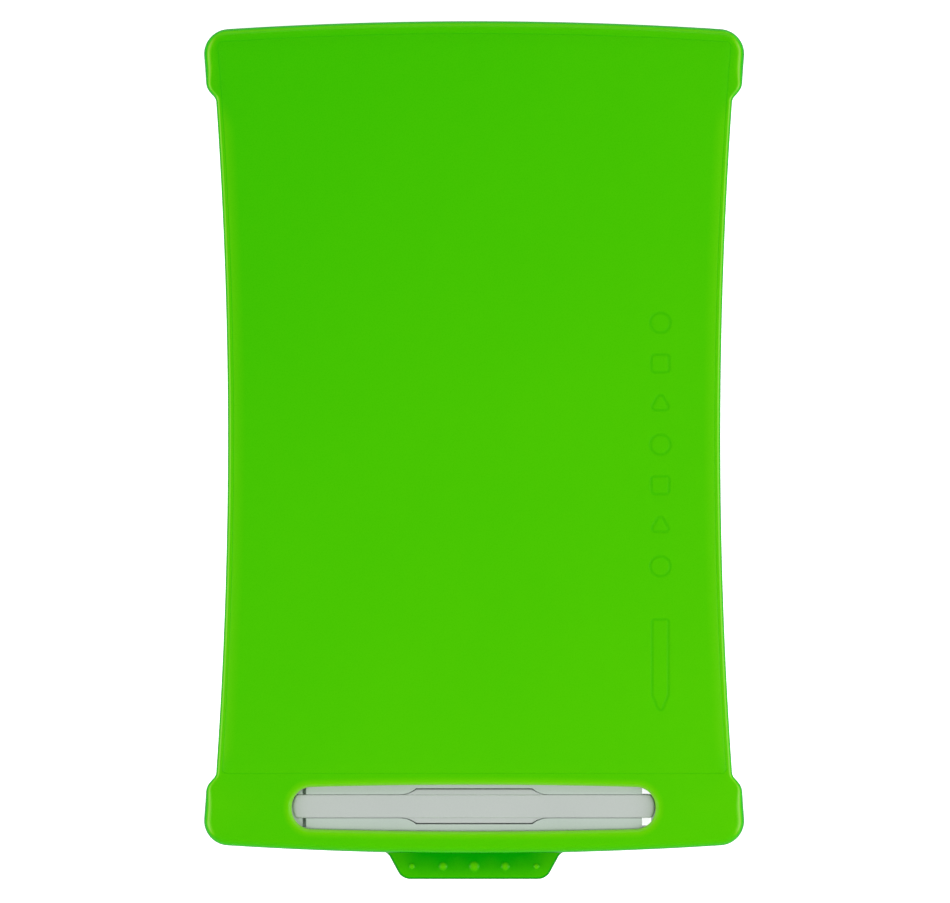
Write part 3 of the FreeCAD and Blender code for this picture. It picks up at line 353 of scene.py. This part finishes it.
materials = {
    "green_cover": green_cover(),
    "housing_grey": moulded_grey("housing_grey", linear(180, 193, 184), linear(190, 202, 194)),
    "stylus_grey": moulded_grey("stylus_grey", linear(184, 191, 187), linear(192, 198, 194)),
    "button": moulded_grey("button", linear(140, 147, 143), linear(150, 157, 153)),
    "tape": plain_detail("tape", (0.01, 0.01, 0.01, 1), (0.03, 0.03, 0.03, 1), 900, (0.7, 0.9)),
    "film": plain_detail("film", (0.010, 0.016, 0.014, 1), (0.014, 0.021, 0.018, 1), 40,
                         (0.16, 0.22), bump=0.02),
    "crystal": plain_detail("crystal", (0.01, 0.03, 0.02, 1), (0.02, 0.04, 0.03, 1), 200,
                            (0.25, 0.4)),
    "backing": plain_detail("backing", (0.008, 0.008, 0.01, 1), (0.02, 0.02, 0.02, 1), 500,
                            (0.5, 0.7)),
    "support": plain_detail("support", (0.32, 0.33, 0.33, 1), (0.38, 0.39, 0.39, 1), 500,
                            (0.45, 0.6)),
    "board": plain_detail("board", (0.01, 0.12, 0.04, 1), (0.02, 0.18, 0.07, 1), 700, (0.3, 0.45)),
    "chip": plain_detail("chip", (0.015, 0.015, 0.015, 1), (0.03, 0.03, 0.03, 1), 3000, (0.5, 0.7)),
    "capacitor": plain_detail("capacitor", (0.40, 0.28, 0.16, 1), (0.50, 0.38, 0.24, 1), 2500,
                              (0.4, 0.6)),
    "connector": plain_detail("connector", (0.70, 0.66, 0.56, 1), (0.80, 0.76, 0.66, 1), 1500,
                              (0.4, 0.55)),
    "flex": plain_detail("flex", (0.45, 0.18, 0.02, 1), (0.60, 0.28, 0.04, 1), 400, (0.25, 0.4)),
    "spring_steel": plain_detail("spring_steel", (0.55, 0.55, 0.56, 1), (0.75, 0.75, 0.76, 1), 900,
                                 (0.22, 0.38), metallic=1.0, stretch=(1, 12, 1)),
    "steel": plain_detail("steel", (0.60, 0.60, 0.62, 1), (0.78, 0.78, 0.79, 1), 1200, (0.2, 0.36),
                          metallic=1.0),
}
for entry in frame["record"]["subparts"]:
    node = frame["nodes"][entry["node"]]
    node.data.materials.clear()
    node.data.materials.append(materials[entry["material_slot"]])

# ---------------------------------------------------------------- plans (millimetres, seen from above)

def unit(vector):
    """The vector at length one."""
    return vector / np.linalg.norm(vector)


def rounded(corner, before, after, radius, steps=10):
    """Points of a round at a corner between two nearly straight runs."""
    corner, before, after = np.array(corner), np.array(before), np.array(after)
    to_before = unit(before - corner)
    to_after = unit(after - corner)
    half = math.acos(np.dot(to_before, to_after)) / 2
    centre = corner + unit(to_before + to_after) * radius / math.sin(half)
    start = corner + to_before * radius / math.tan(half) - centre
    end = corner + to_after * radius / math.tan(half) - centre
    sweep = math.pi - 2 * half
    points = []
    for step in range(steps + 1):
        part = step / steps
        spoke = (start * math.sin((1 - part) * sweep) + end * math.sin(part * sweep)) / math.sin(sweep)
        points.append(tuple(centre + spoke))
    return points


def polygon(corners, radii, steps=8):
    """Closed plan through the corners, each with its own round."""
    points = []
    for index, (corner, radius) in enumerate(zip(corners, radii)):
        following = corners[(index + 1) % len(corners)]
        points += rounded(corner, corners[index - 1], following, radius, steps)
    return np.array(points)


def regular(count, reach, turn, radius):
    """Regular polygon with rounded corners around the origin."""
    angles = [turn + 2 * math.pi * k / count for k in range(count)]
    corners = [(reach * math.cos(a), reach * math.sin(a)) for a in angles]
    return polygon(corners, [radius] * count)


def circle(radius, count=48):
    """Round plan about the origin."""
    angles = np.linspace(0, 2 * math.pi, count, endpoint=False)
    return np.column_stack((radius * np.cos(angles), radius * np.sin(angles)))


def normals(plan):
    """Outward unit normals of a closed counter-clockwise plan."""
    run = np.roll(plan, -1, axis=0) - plan
    out = np.column_stack((run[:, 1], -run[:, 0]))
    out /= np.linalg.norm(out, axis=1)[:, None]
    both = out + np.roll(out, 1, axis=0)
    return both / np.linalg.norm(both, axis=1)[:, None]


def inset(plan, distance):
    """The plan moved inwards, by one distance or by one for each point."""
    return plan - normals(plan) * np.reshape(distance, (-1, 1))


def four_fold(quarter):
    """Closed plan from its upper right quarter, which runs from the X axis to the Y axis."""
    across = [(-x, y) for x, y in reversed(quarter[:-1])]
    turned = [(-x, -y) for x, y in quarter[1:]]
    below = [(x, -y) for x, y in reversed(quarter[1:-1])]
    return np.array(quarter + across + turned + below)


def smooth(value, low, high):
    """0..1 smooth step between two limits."""
    part = np.clip((value - low) / (high - low), 0.0, 1.0)
    return part * part * (3 - 2 * part)


def side_x(y, waist):
    """Half width of the concave long side."""
    return waist + SIDE_RADIUS - math.sqrt(SIDE_RADIUS ** 2 - y ** 2)


def crown_y(x, half):
    """Height of an end arc."""
    return half - CROWN_RADIUS + math.sqrt(CROWN_RADIUS ** 2 - x ** 2)


def corner_point(waist, half):
    """Where a long side meets an end arc."""
    x = waist
    for _ in range(20):
        y = crown_y(x, half)
        x = side_x(y, waist)
    return x, y


def cover_plan():
    """Outline of the cover: concave sides, stepped ears and gently arched ends."""
    outer = WAIST_HALF + EAR_OUT
    step_in = (side_x(STEP_IN_Y, WAIST_HALF), STEP_IN_Y)
    step_out = (side_x(STEP_OUT_Y, outer), STEP_OUT_Y)
    corner = corner_point(outer, CROWN_HALF)
    clear = COVER_CORNER + 0.5
    side = [(side_x(y, WAIST_HALF), y) for y in np.linspace(0, STEP_IN_Y - 1.5, 46)]
    wall_end = []
    for y in (WALL_END_Y - 0.005, WALL_END_Y + 0.005):
        part = (y - step_in[1]) / (step_out[1] - step_in[1])
        wall_end.append((step_in[0] + part * (step_out[0] - step_in[0]), y))
    ear = [(side_x(y, outer), y) for y in np.linspace(STEP_OUT_Y + 2.0, corner[1] - clear, 10)]
    crown = [(x, crown_y(x, CROWN_HALF)) for x in np.linspace(corner[0] - clear, 0, 36)]
    return four_fold(side + rounded(step_in, side[-1], step_out, STEP_IN_ROUND) + wall_end
                     + rounded(step_out, step_in, ear[0], STEP_OUT_ROUND) + ear
                     + rounded(corner, ear[-1], crown[0], COVER_CORNER, 24) + crown)


def wall_inside(plan):
    """Inner face of the end walls; between them the points only run along the plate's edge."""
    points = inset(plan, WALL_THICK)
    for index, (x, y) in enumerate(plan):
        if abs(y) < WALL_END_Y:
            points[index] = (x - math.copysign(1.0, x), y)
        elif abs(y) < EAR_POCKET_Y and abs(x) > EAR_POCKET_X:
            points[index] = (math.copysign(side_x(y, WAIST_HALF) + HOUSING_GAP, x), y)
    return points


def panel_plan(inward=0.0):
    """Line of the fine groove around the flat panel, or a line some way inside it."""
    waist = WAIST_HALF - PANEL_SIDE_INSET - inward
    half = CROWN_HALF - PANEL_TOP_INSET - inward
    foot_y = PANEL_FOOT_Y + inward
    foot = (side_x(foot_y, waist), foot_y)
    top = corner_point(waist, half)
    side = [(side_x(y, waist), y) for y in np.linspace(foot_y + 2.0, top[1] - 2.0, 90)]
    crown = [(x, crown_y(x, half)) for x in np.linspace(top[0] - 2.0, 0, 30)]
    right = rounded(foot, (0, foot_y), side[0], PANEL_CORNER) + side
    right += rounded(top, side[-1], crown[0], PANEL_CORNER) + crown
    left = [(-x, y) for x, y in reversed(right[:-1])]
    return np.array(right + left)


def window_plan():
    """Outline of the stylus window around its own centre."""
    def arc_y(x):
        return WINDOW_HIGH - x ** 2 / (2 * WINDOW_RADIUS)

    corner = (WINDOW_LONG, arc_y(WINDOW_LONG))
    arc = [(x, arc_y(x)) for x in np.linspace(WINDOW_LONG - WINDOW_CORNER - 0.5, 0, 30)]
    end = rounded(corner, (WINDOW_LONG, 0), arc[0], WINDOW_CORNER, 20)
    return four_fold([(WINDOW_LONG, 0.0)] + end + arc)


def tab_plan():
    """Outline of the thumb tab; its root reaches into the end wall."""
    root_y = -crown_y(TAB_ROOT_HALF, CROWN_HALF)
    hidden = TAB_ROOT_HALF + 4.5
    hidden_low = root_y + 0.15
    hidden_high = root_y + 1.95
    hidden_round = 0.85
    corners = [(-TAB_TIP_HALF, -TAB_REACH), (TAB_TIP_HALF, -TAB_REACH), (TAB_ROOT_HALF, root_y),
               (hidden, hidden_low), (hidden, hidden_high), (-hidden, hidden_high),
               (-hidden, hidden_low), (-TAB_ROOT_HALF, root_y)]
    radii = [TAB_CORNER, TAB_CORNER, TAB_ROOT_ROUND] + [hidden_round] * 4 + [TAB_ROOT_ROUND]
    return polygon(corners, radii, 12)


# ---------------------------------------------------------------- mesh building

class Shell:
    """Rings of points, in millimetres, and the faces between them.

    Rings run counter-clockwise seen from above. A band from one ring to a ring inside or above it
    faces outwards. Every point carries a number from -2 to 1, painted shade and light that the green
    material reads: below zero painted shade in deep green, above zero painted light in pale green.
    """

    def __init__(self):
        self.points = []
        self.painted_shadings = []
        self.faces = []

    def ring(self, plan, height, painted_shading=0.0):
        """Adds a ring; height and painted shading are one number, or one for each point."""
        first = len(self.points)
        count = len(plan)
        heights = np.broadcast_to(height, count)
        self.points += [(float(x), float(y), float(z)) for (x, y), z in zip(plan, heights)]
        self.painted_shadings += [float(value) for value in np.broadcast_to(painted_shading, count)]
        return list(range(first, first + count))

    def band(self, *rings):
        """Strips of faces between successive rings."""
        for first, second in zip(rings, rings[1:]):
            for near in range(len(first)):
                far = (near + 1) % len(first)
                self.faces.append((first[near], first[far], second[far], second[near]))

    def support(self, ring, side, up):
        """Flat strip beside a ring, so that the face beyond it is shaded perfectly flat."""
        plan = np.array([self.points[index][:2] for index in ring])
        heights = [self.points[index][2] for index in ring]
        inner = self.ring(inset(plan, side * SUPPORT), heights, [self.painted_shadings[index] for index in ring])
        pair = (ring, inner) if (side > 0) == up else (inner, ring)
        self.band(*pair)
        return inner

    def fill(self, borders, holes=(), up=True):
        """Flat face inside the borders and outside the holes."""
        rings = [self.support(ring, 1, up) for ring in borders]
        rings += [self.support(ring, -1, up) for ring in holes]
        order = [index for ring in rings for index in ring]
        flat = [Vector(self.points[index][:2]) for index in order]
        edges = []
        start = 0
        for ring in rings:
            edges += [(start + k, start + (k + 1) % len(ring)) for k in range(len(ring))]
            start += len(ring)
        corners, _, triangles, sources, _, _ = delaunay_2d_cdt(flat, edges, [], 0, 1e-5)
        places = np.array([tuple(corner) for corner in corners])
        centres = np.array([places[list(triangle)].mean(axis=0) for triangle in triangles])
        ends = np.array([(*flat[a], *flat[b]) for a, b in edges])
        x, y = centres[:, :1], centres[:, 1:]
        x0, y0, x1, y1 = ends.T
        rise = np.where(y1 == y0, 1.0, y1 - y0)
        crossed = ((y0 > y) != (y1 > y)) & (x < x0 + (y - y0) / rise * (x1 - x0))
        for triangle, odd in zip(triangles, crossed.sum(axis=1) % 2):
            if odd:
                face = [order[sources[corner][0]] for corner in triangle]
                self.faces.append(tuple(face if up else reversed(face)))

    def piece(self, name, body, slot, *nodes):
        """Makes the object, in metres, that stands for some CAD nodes."""
        mesh = bpy.data.meshes.new(name)
        points = [tuple(MM * value for value in point) for point in self.points]
        mesh.from_pydata(points, [], self.faces)
        painted_shading = mesh.attributes.new("painted_shading", "FLOAT", "POINT")
        painted_shading.data.foreach_set("value", self.painted_shadings)
        mesh.validate()
        mesh.polygons.foreach_set("use_smooth", [True] * len(mesh.polygons))
        mesh.set_sharp_from_angle(angle=math.radians(38))
        piece = bpy.data.objects.new(name, mesh)
        bpy.context.scene.collection.objects.link(piece)
        mesh.materials.append(materials[slot])
        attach(piece, body)
        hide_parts(*nodes)


def round_rings(shell, plan, reach, level, drop, shade, move):
    """Rings of a rounded edge, from the foot of the round in to the flat face at the level.

    A positive drop rounds a front edge, a negative one a back edge. shade gives the painted shading.
    """
    rings = []
    for angle in QUARTER:
        moved = move(plan, reach * (1 - math.cos(angle)))
        rings.append(shell.ring(moved, level - drop * (1 - math.sin(angle)), shade(moved, angle)))
    return rings


def plain_shade(points, angle):
    """No painted shading anywhere."""
    return 0.0


def rim_painted_shading(points, angle):
    """Painted shade in deep green and olive at the foot of a rounded edge, and a painted highlight line
    along the sides.
    """
    out = normals(points)
    degrees = math.degrees(angle)
    side, top, foot = [np.interp(degrees, RIM_ANGLES, painted_shadings)
                       for painted_shadings in (SIDE_PAINTED_SHADING, TOP_PAINTED_SHADING, FOOT_PAINTED_SHADING)]
    end = foot + (top - foot) * smooth(out[:, 1], -0.2, 0.2)
    return end + (side - end) * smooth(np.abs(out[:, 0]), 0.6, 0.97)


def painted_side_glow(points):
    """Mask of painted light: 1 along the open long sides, fading to 0 at the ends and towards the
    middle.
    """
    beside = smooth(np.abs(points[:, 0]), *BORDER_X)
    beyond = smooth(np.abs(points[:, 1]), *BORDER_Y)
    return beside * (1.0 - beyond)


def bar(shell, plan, low, high, back_round, reach, drop, shade=plain_shade, move=inset, holes=()):
    """Closed plate with rounded back and front edges; holes are rings already in its face."""
    back = round_rings(shell, plan, back_round, low, -back_round, shade, move)
    front = round_rings(shell, plan, reach, high, drop, shade, move)
    shell.band(*reversed(back), *front)
    shell.fill([back[-1]], up=False)
    shell.fill([front[-1]], holes)


def channel(shell, plan, half_wide, deep, painted_shading, ground=0.0):
    """Soft sunk line in the cover's face: painted shade down in it, added to that of the ground around
    it.

    Returns its outer and its inner ring.
    """
    rings = [shell.ring(inset(plan, offset * half_wide), COVER_TOP - sink * deep, ground + sink * painted_shading)
             for offset, sink in CHANNEL_PROFILE]
    shell.band(*rings)
    return rings[0], rings[-1]


def add_window(shell):
    """Stylus window with a soft rim painted pale with light that fades outwards; returns its face and
    back rings.
    """
    opening = window_plan() + np.array((WINDOW_X, WINDOW_Y))
    rings = []
    for angle in QUARTER[::-1]:
        spread = WINDOW_ROUND * (1 - math.cos(angle))
        height = COVER_TOP - WINDOW_ROUND * (1 - math.sin(angle))
        # painted light: the green pales from the brink of the rim down to the opening
        painted_shading = WINDOW_PAINTED_GLOW + (1.0 - WINDOW_PAINTED_GLOW) * math.cos(angle) ** 1.5
        rings.append(shell.ring(inset(opening, -spread), height, painted_shading))
    rings.insert(0, shell.ring(inset(opening, -PAINTED_GLOW_REACH), COVER_TOP))
    rings.append(shell.ring(opening, PLATE_UNDER, 1.0))
    shell.band(*rings)
    return rings[0], rings[-1]


def add_groove(shell):
    """Fine groove with painted shade around the flat panel; painted light pales its border along the
    sides.
    """
    line = panel_plan()
    painted_border_glow = BORDER_PAINTED_GLOW * painted_side_glow(line)
    outside, inside = channel(shell, line, GROOVE_HALF, GROOVE_DEEP, GROOVE_PAINTED_SHADE, painted_border_glow)
    border = shell.ring(panel_plan(BORDER_WIDE), COVER_TOP)
    shell.band(inside, border)
    return outside, border


def add_relief(shell):
    """Column of plain outlines (circle, square, triangle) with a pencil below it."""
    shapes = (circle(CIRCLE_RADIUS), regular(4, SQUARE_REACH, math.pi / 4, SHAPE_CORNER),
              regular(3, TRIANGLE_REACH, math.pi / 2, SHAPE_CORNER))
    outlines = []
    for index in range(RELIEF_COUNT):
        place = np.array((RELIEF_X, RELIEF_FIRST_Y - index * RELIEF_PITCH))
        outlines.append(shapes[index % 3] + place)
    corners = [(-PENCIL_HALF, PENCIL_SHOULDER), (0.0, PENCIL_POINT), (PENCIL_HALF, PENCIL_SHOULDER),
               (PENCIL_HALF, PENCIL_TOP), (-PENCIL_HALF, PENCIL_TOP)]
    pencil = polygon(corners, [PENCIL_CORNER] * len(corners))
    outlines.append(pencil + np.array((RELIEF_X, PENCIL_Y)))
    return [channel(shell, outline, RELIEF_HALF, RELIEF_DEEP, RELIEF_PAINTED_SHADE) for outline in outlines]


def add_tab(shell):
    """Thumb tab with rounded edges and a row of domed grip bumps: painted shadow of the end wall in
    deep green near it.
    """
    # painted shadow of the end wall: deep green near it, lighter away from it and towards the sides
    def tab_painted_shadow(points):
        shade_free = smooth(-CROWN_HALF - points[:, 1], *TAB_PAINTED_SHADOW)
        aside = smooth(np.abs(points[:, 0]), *TAB_ASIDE)
        return -1.0 + 0.5 * shade_free + 0.5 * aside * (1.0 - 0.5 * shade_free)

    # painted shade: dark olive at the foot of the tab's edges
    def shade(points, angle):
        painted_shading = tab_painted_shadow(points)
        return painted_shading - (2.0 + painted_shading) * math.cos(angle)

    feet = []
    for step in range(-2, 3):
        radius = BUMP_RADII[abs(step)]
        place = np.array((step * BUMP_PITCH, BUMP_Y))
        dome = []
        for reach, rise in BUMP_PROFILE:
            plan = circle(radius * reach, 28) + place
            ground = tab_painted_shadow(plan)
            # painted highlight: paler towards the top of each bump
            painted_shading = ground + (BUMP_PAINTED_HIGHLIGHT - ground) * rise / BUMP_PROFILE[-1][1]
            dome.append(shell.ring(plan, TAB_TOP + rise, painted_shading))
        shell.band(*dome)
        shell.fill([dome[-1]])
        feet.append(dome[0])
    near_wall = [(x, -CROWN_HALF - 0.35) for x in np.linspace(20.0, -20.0, 41)]
    near_edge = [(x, -TAB_REACH + 1.5) for x in np.linspace(-17.5, 17.5, 36)]
    middle = np.array(near_wall + near_edge)
    field = shell.ring(middle, TAB_TOP, tab_painted_shadow(middle))
    shell.fill([field], feet)
    edges = (TAB_EDGE_ROUND, TAB_EDGE_ROUND, TAB_EDGE_ROUND)
    bar(shell, tab_plan(), WALL_FOOT, TAB_TOP, *edges, shade, holes=[field])


def make_cover():
    """Translucent green cover as one smooth shell."""
    shell = Shell()
    plan = cover_plan()
    walled = np.abs(plan[:, 1]) > WALL_END_Y
    foot = np.where(walled, WALL_FOOT, PLATE_UNDER - 0.01)
    reach = SIDE_ROUND + (END_ROUND - SIDE_ROUND) * smooth(np.abs(plan[:, 1]), *ROUND_CHANGE)
    inner = wall_inside(plan)
    back = shell.ring(inner, PLATE_UNDER)
    inner_foot = shell.ring(inner, foot, INNER_FOOT_PAINTED_SHADE)
    outer_foot = shell.ring(plan, foot, OUTER_FOOT_PAINTED_SHADE)
    edge = round_rings(shell, plan, reach, COVER_TOP, reach, rim_painted_shading, inset)
    shell.band(back, inner_foot, outer_foot, *edge)
    window_face, window_back = add_window(shell)
    lines = [add_groove(shell)] + add_relief(shell)
    outsides, insides = zip(*lines)
    shell.fill([edge[-1], *insides], [window_face, *outsides])
    shell.fill([back], [window_back], up=False)
    add_tab(shell)
    shell.piece("cover_shell", "cover", "green_cover", "screen_cover")


def stylus_end():
    """Right end of the stylus in plan, from its lower to its upper long edge."""
    centre = STYLUS_REACH - STYLUS_END_RADIUS
    spread = math.asin(STYLUS_HALF / STYLUS_END_RADIUS)

    def on_arc(angle):
        return (centre + STYLUS_END_RADIUS * math.cos(angle), STYLUS_END_RADIUS * math.sin(angle))

    corner = on_arc(spread)
    upper = rounded(corner, on_arc(spread - 0.15), (corner[0] - 1.0, corner[1]), STYLUS_CORNER, 8)
    lower = [(x, -y) for x, y in reversed(upper)]
    return lower + [on_arc(angle) for angle in np.linspace(0.12 - spread, spread - 0.12, 21)] + upper


def seam_inset(plan, distance):
    """Inset of a stylus plan that leaves its square seam end where it is."""
    moved = inset(plan, distance)
    seam = plan[:, 0] == TIP_SEAM
    moved[seam, 0] = TIP_SEAM
    moved[seam, 1] = np.sign(plan[seam, 1]) * (STYLUS_HALF - np.broadcast_to(distance, len(plan))[seam])
    return moved


def end_roll(plan):
    """0 along the stylus, 1 at the middle of its end arcs."""
    start, full = END_ROLL
    along = smooth(np.abs(plan[:, 0]), STYLUS_REACH - start, STYLUS_REACH - full)
    return along * (1.0 - 0.8 * (plan[:, 1] / STYLUS_HALF) ** 2)


def add_stylus_length(shell, plan):
    """A length of the stylus body: soft edges along it, and ends that roll away."""
    roll = end_roll(plan)
    reach, drop = [along + (end - along) * roll for along, end in zip(STYLUS_EDGE, STYLUS_END_EDGE)]
    bar(shell, plan, STYLUS_LOW.z, STYLUS_HIGH.z, STYLUS_BACK_ROUND, reach, drop, move=seam_inset)


def wing_plan():
    """Outline of the grip wings; their ends run on inside the body."""
    narrow = STYLUS_HALF - 0.45
    foot = WING_START + WING_BLEND
    slope = [(x, STYLUS_HALF + (WING_HALF - STYLUS_HALF) * ((foot - x) / WING_BLEND) ** 2)
             for x in np.linspace(foot, WING_START, 12)]
    side = [(x, WING_HALF) for x in np.linspace(WING_START - 1.0, 0.0, 8)]
    inner_end = foot + 6.0
    hidden = rounded((inner_end, narrow), (inner_end, 0.0), (foot + 3.0, narrow), 0.6, 4)
    hidden.append((foot + 2.0, narrow))
    return four_fold([(inner_end, 0.0)] + hidden + slope + side)


def make_stylus():
    """Barrel with its grip wings, and the writing tip beyond the seam."""
    end = stylus_end()
    runs = np.linspace(TIP_SEAM, end[0][0] - 0.4, 60)
    lower = [(x, -STYLUS_HALF) for x in runs]
    upper = [(x, STYLUS_HALF) for x in reversed(runs)]
    barrel = Shell()
    add_stylus_length(barrel, np.array(lower + end + upper))
    bar(barrel, wing_plan(), STYLUS_LOW.z + WING_DROP, STYLUS_HIGH.z - WING_DROP, *WING_EDGES)
    tip = Shell()
    add_stylus_length(tip, np.array([(TIP_SEAM, -STYLUS_HALF), (TIP_SEAM, STYLUS_HALF)]
                                    + [(-x - TIP_EXTRA, -y) for x, y in end]))
    for shell in (barrel, tip):
        shell.points = [(x, y + DOCK_Y, z) for x, y, z in shell.points]
    barrel.piece("stylus_body", "stylus", "stylus_grey", "stylus_barrel")
    tip.piece("stylus_nib", "stylus", "stylus_grey", "stylus_tip")


make_cover()
make_stylus()

# ---------------------------------------------------------------- stage, light, camera

def make_floor():
    """Large pale floor under the tablet."""
    bpy.ops.mesh.primitive_plane_add(size=6.0, location=(0, 0, -0.0002))
    floor = bpy.context.object
    floor.name = "floor"
    floor.data.materials.append(floor_white())


def area_light(name, place, target, wide, high, power):
    """Softbox aimed at a point."""
    data = bpy.data.lights.new(name, "AREA")
    data.shape = "RECTANGLE"
    data.size = wide
    data.size_y = high
    data.energy = power
    lamp = bpy.data.objects.new(name, data)
    lamp.location = place
    lamp.rotation_euler = (Vector(target) - Vector(place)).to_track_quat("-Z", "Y").to_euler()
    bpy.context.scene.collection.objects.link(lamp)


def make_world(horizon, zenith):
    """Soft surroundings: bright low down, darker overhead so that flat faces keep their colour."""
    world = bpy.data.worlds.new("studio")
    world.use_nodes = True
    nodes, links = world.node_tree.nodes, world.node_tree.links
    split = nodes.new("ShaderNodeSeparateXYZ")
    links.new(nodes.new("ShaderNodeTexCoord").outputs["Generated"], split.inputs[0])
    ramp = nodes.new("ShaderNodeValToRGB")
    for element, position, level in zip(ramp.color_ramp.elements, (0.55, 0.9), (horizon, zenith)):
        element.position = position
        element.color = (level, level, level, 1.0)
    links.new(split.outputs["Z"], ramp.inputs["Fac"])
    links.new(ramp.outputs["Color"], nodes["Background"].inputs["Color"])
    bpy.context.scene.world = world


def make_camera():
    """Straight down onto the cover, from far away, framed as the photograph is."""
    data = bpy.data.cameras.new("camera")
    data.sensor_fit = "HORIZONTAL"
    data.sensor_width = SENSOR
    data.lens = SENSOR * CAMERA_FAR / VIEW_WIDE
    data.clip_end = 20.0
    camera = bpy.data.objects.new("camera", data)
    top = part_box("screen_cover")[1].z
    camera.location = (VIEW_CENTRE[0], VIEW_CENTRE[1], top + CAMERA_FAR)
    camera.rotation_euler = (0.0, 0.0, 0.0)
    bpy.context.scene.collection.objects.link(camera)
    bpy.context.scene.camera = camera


make_floor()
make_world(WORLD_HORIZON, WORLD_ZENITH)
middle = (0.0, 0.0, 0.0)
area_light("key", (0.1, 1.2, 1.0), middle, 1.4, 0.5, KEY_POWER)
area_light("left_strip", (-1.1, -0.35, 0.85), middle, 0.35, 1.4, LEFT_POWER)
area_light("right_strip", (1.1, -0.35, 0.85), middle, 0.35, 1.4, RIGHT_POWER)
make_camera()
bpy.context.scene.view_settings.view_transform = "Standard"
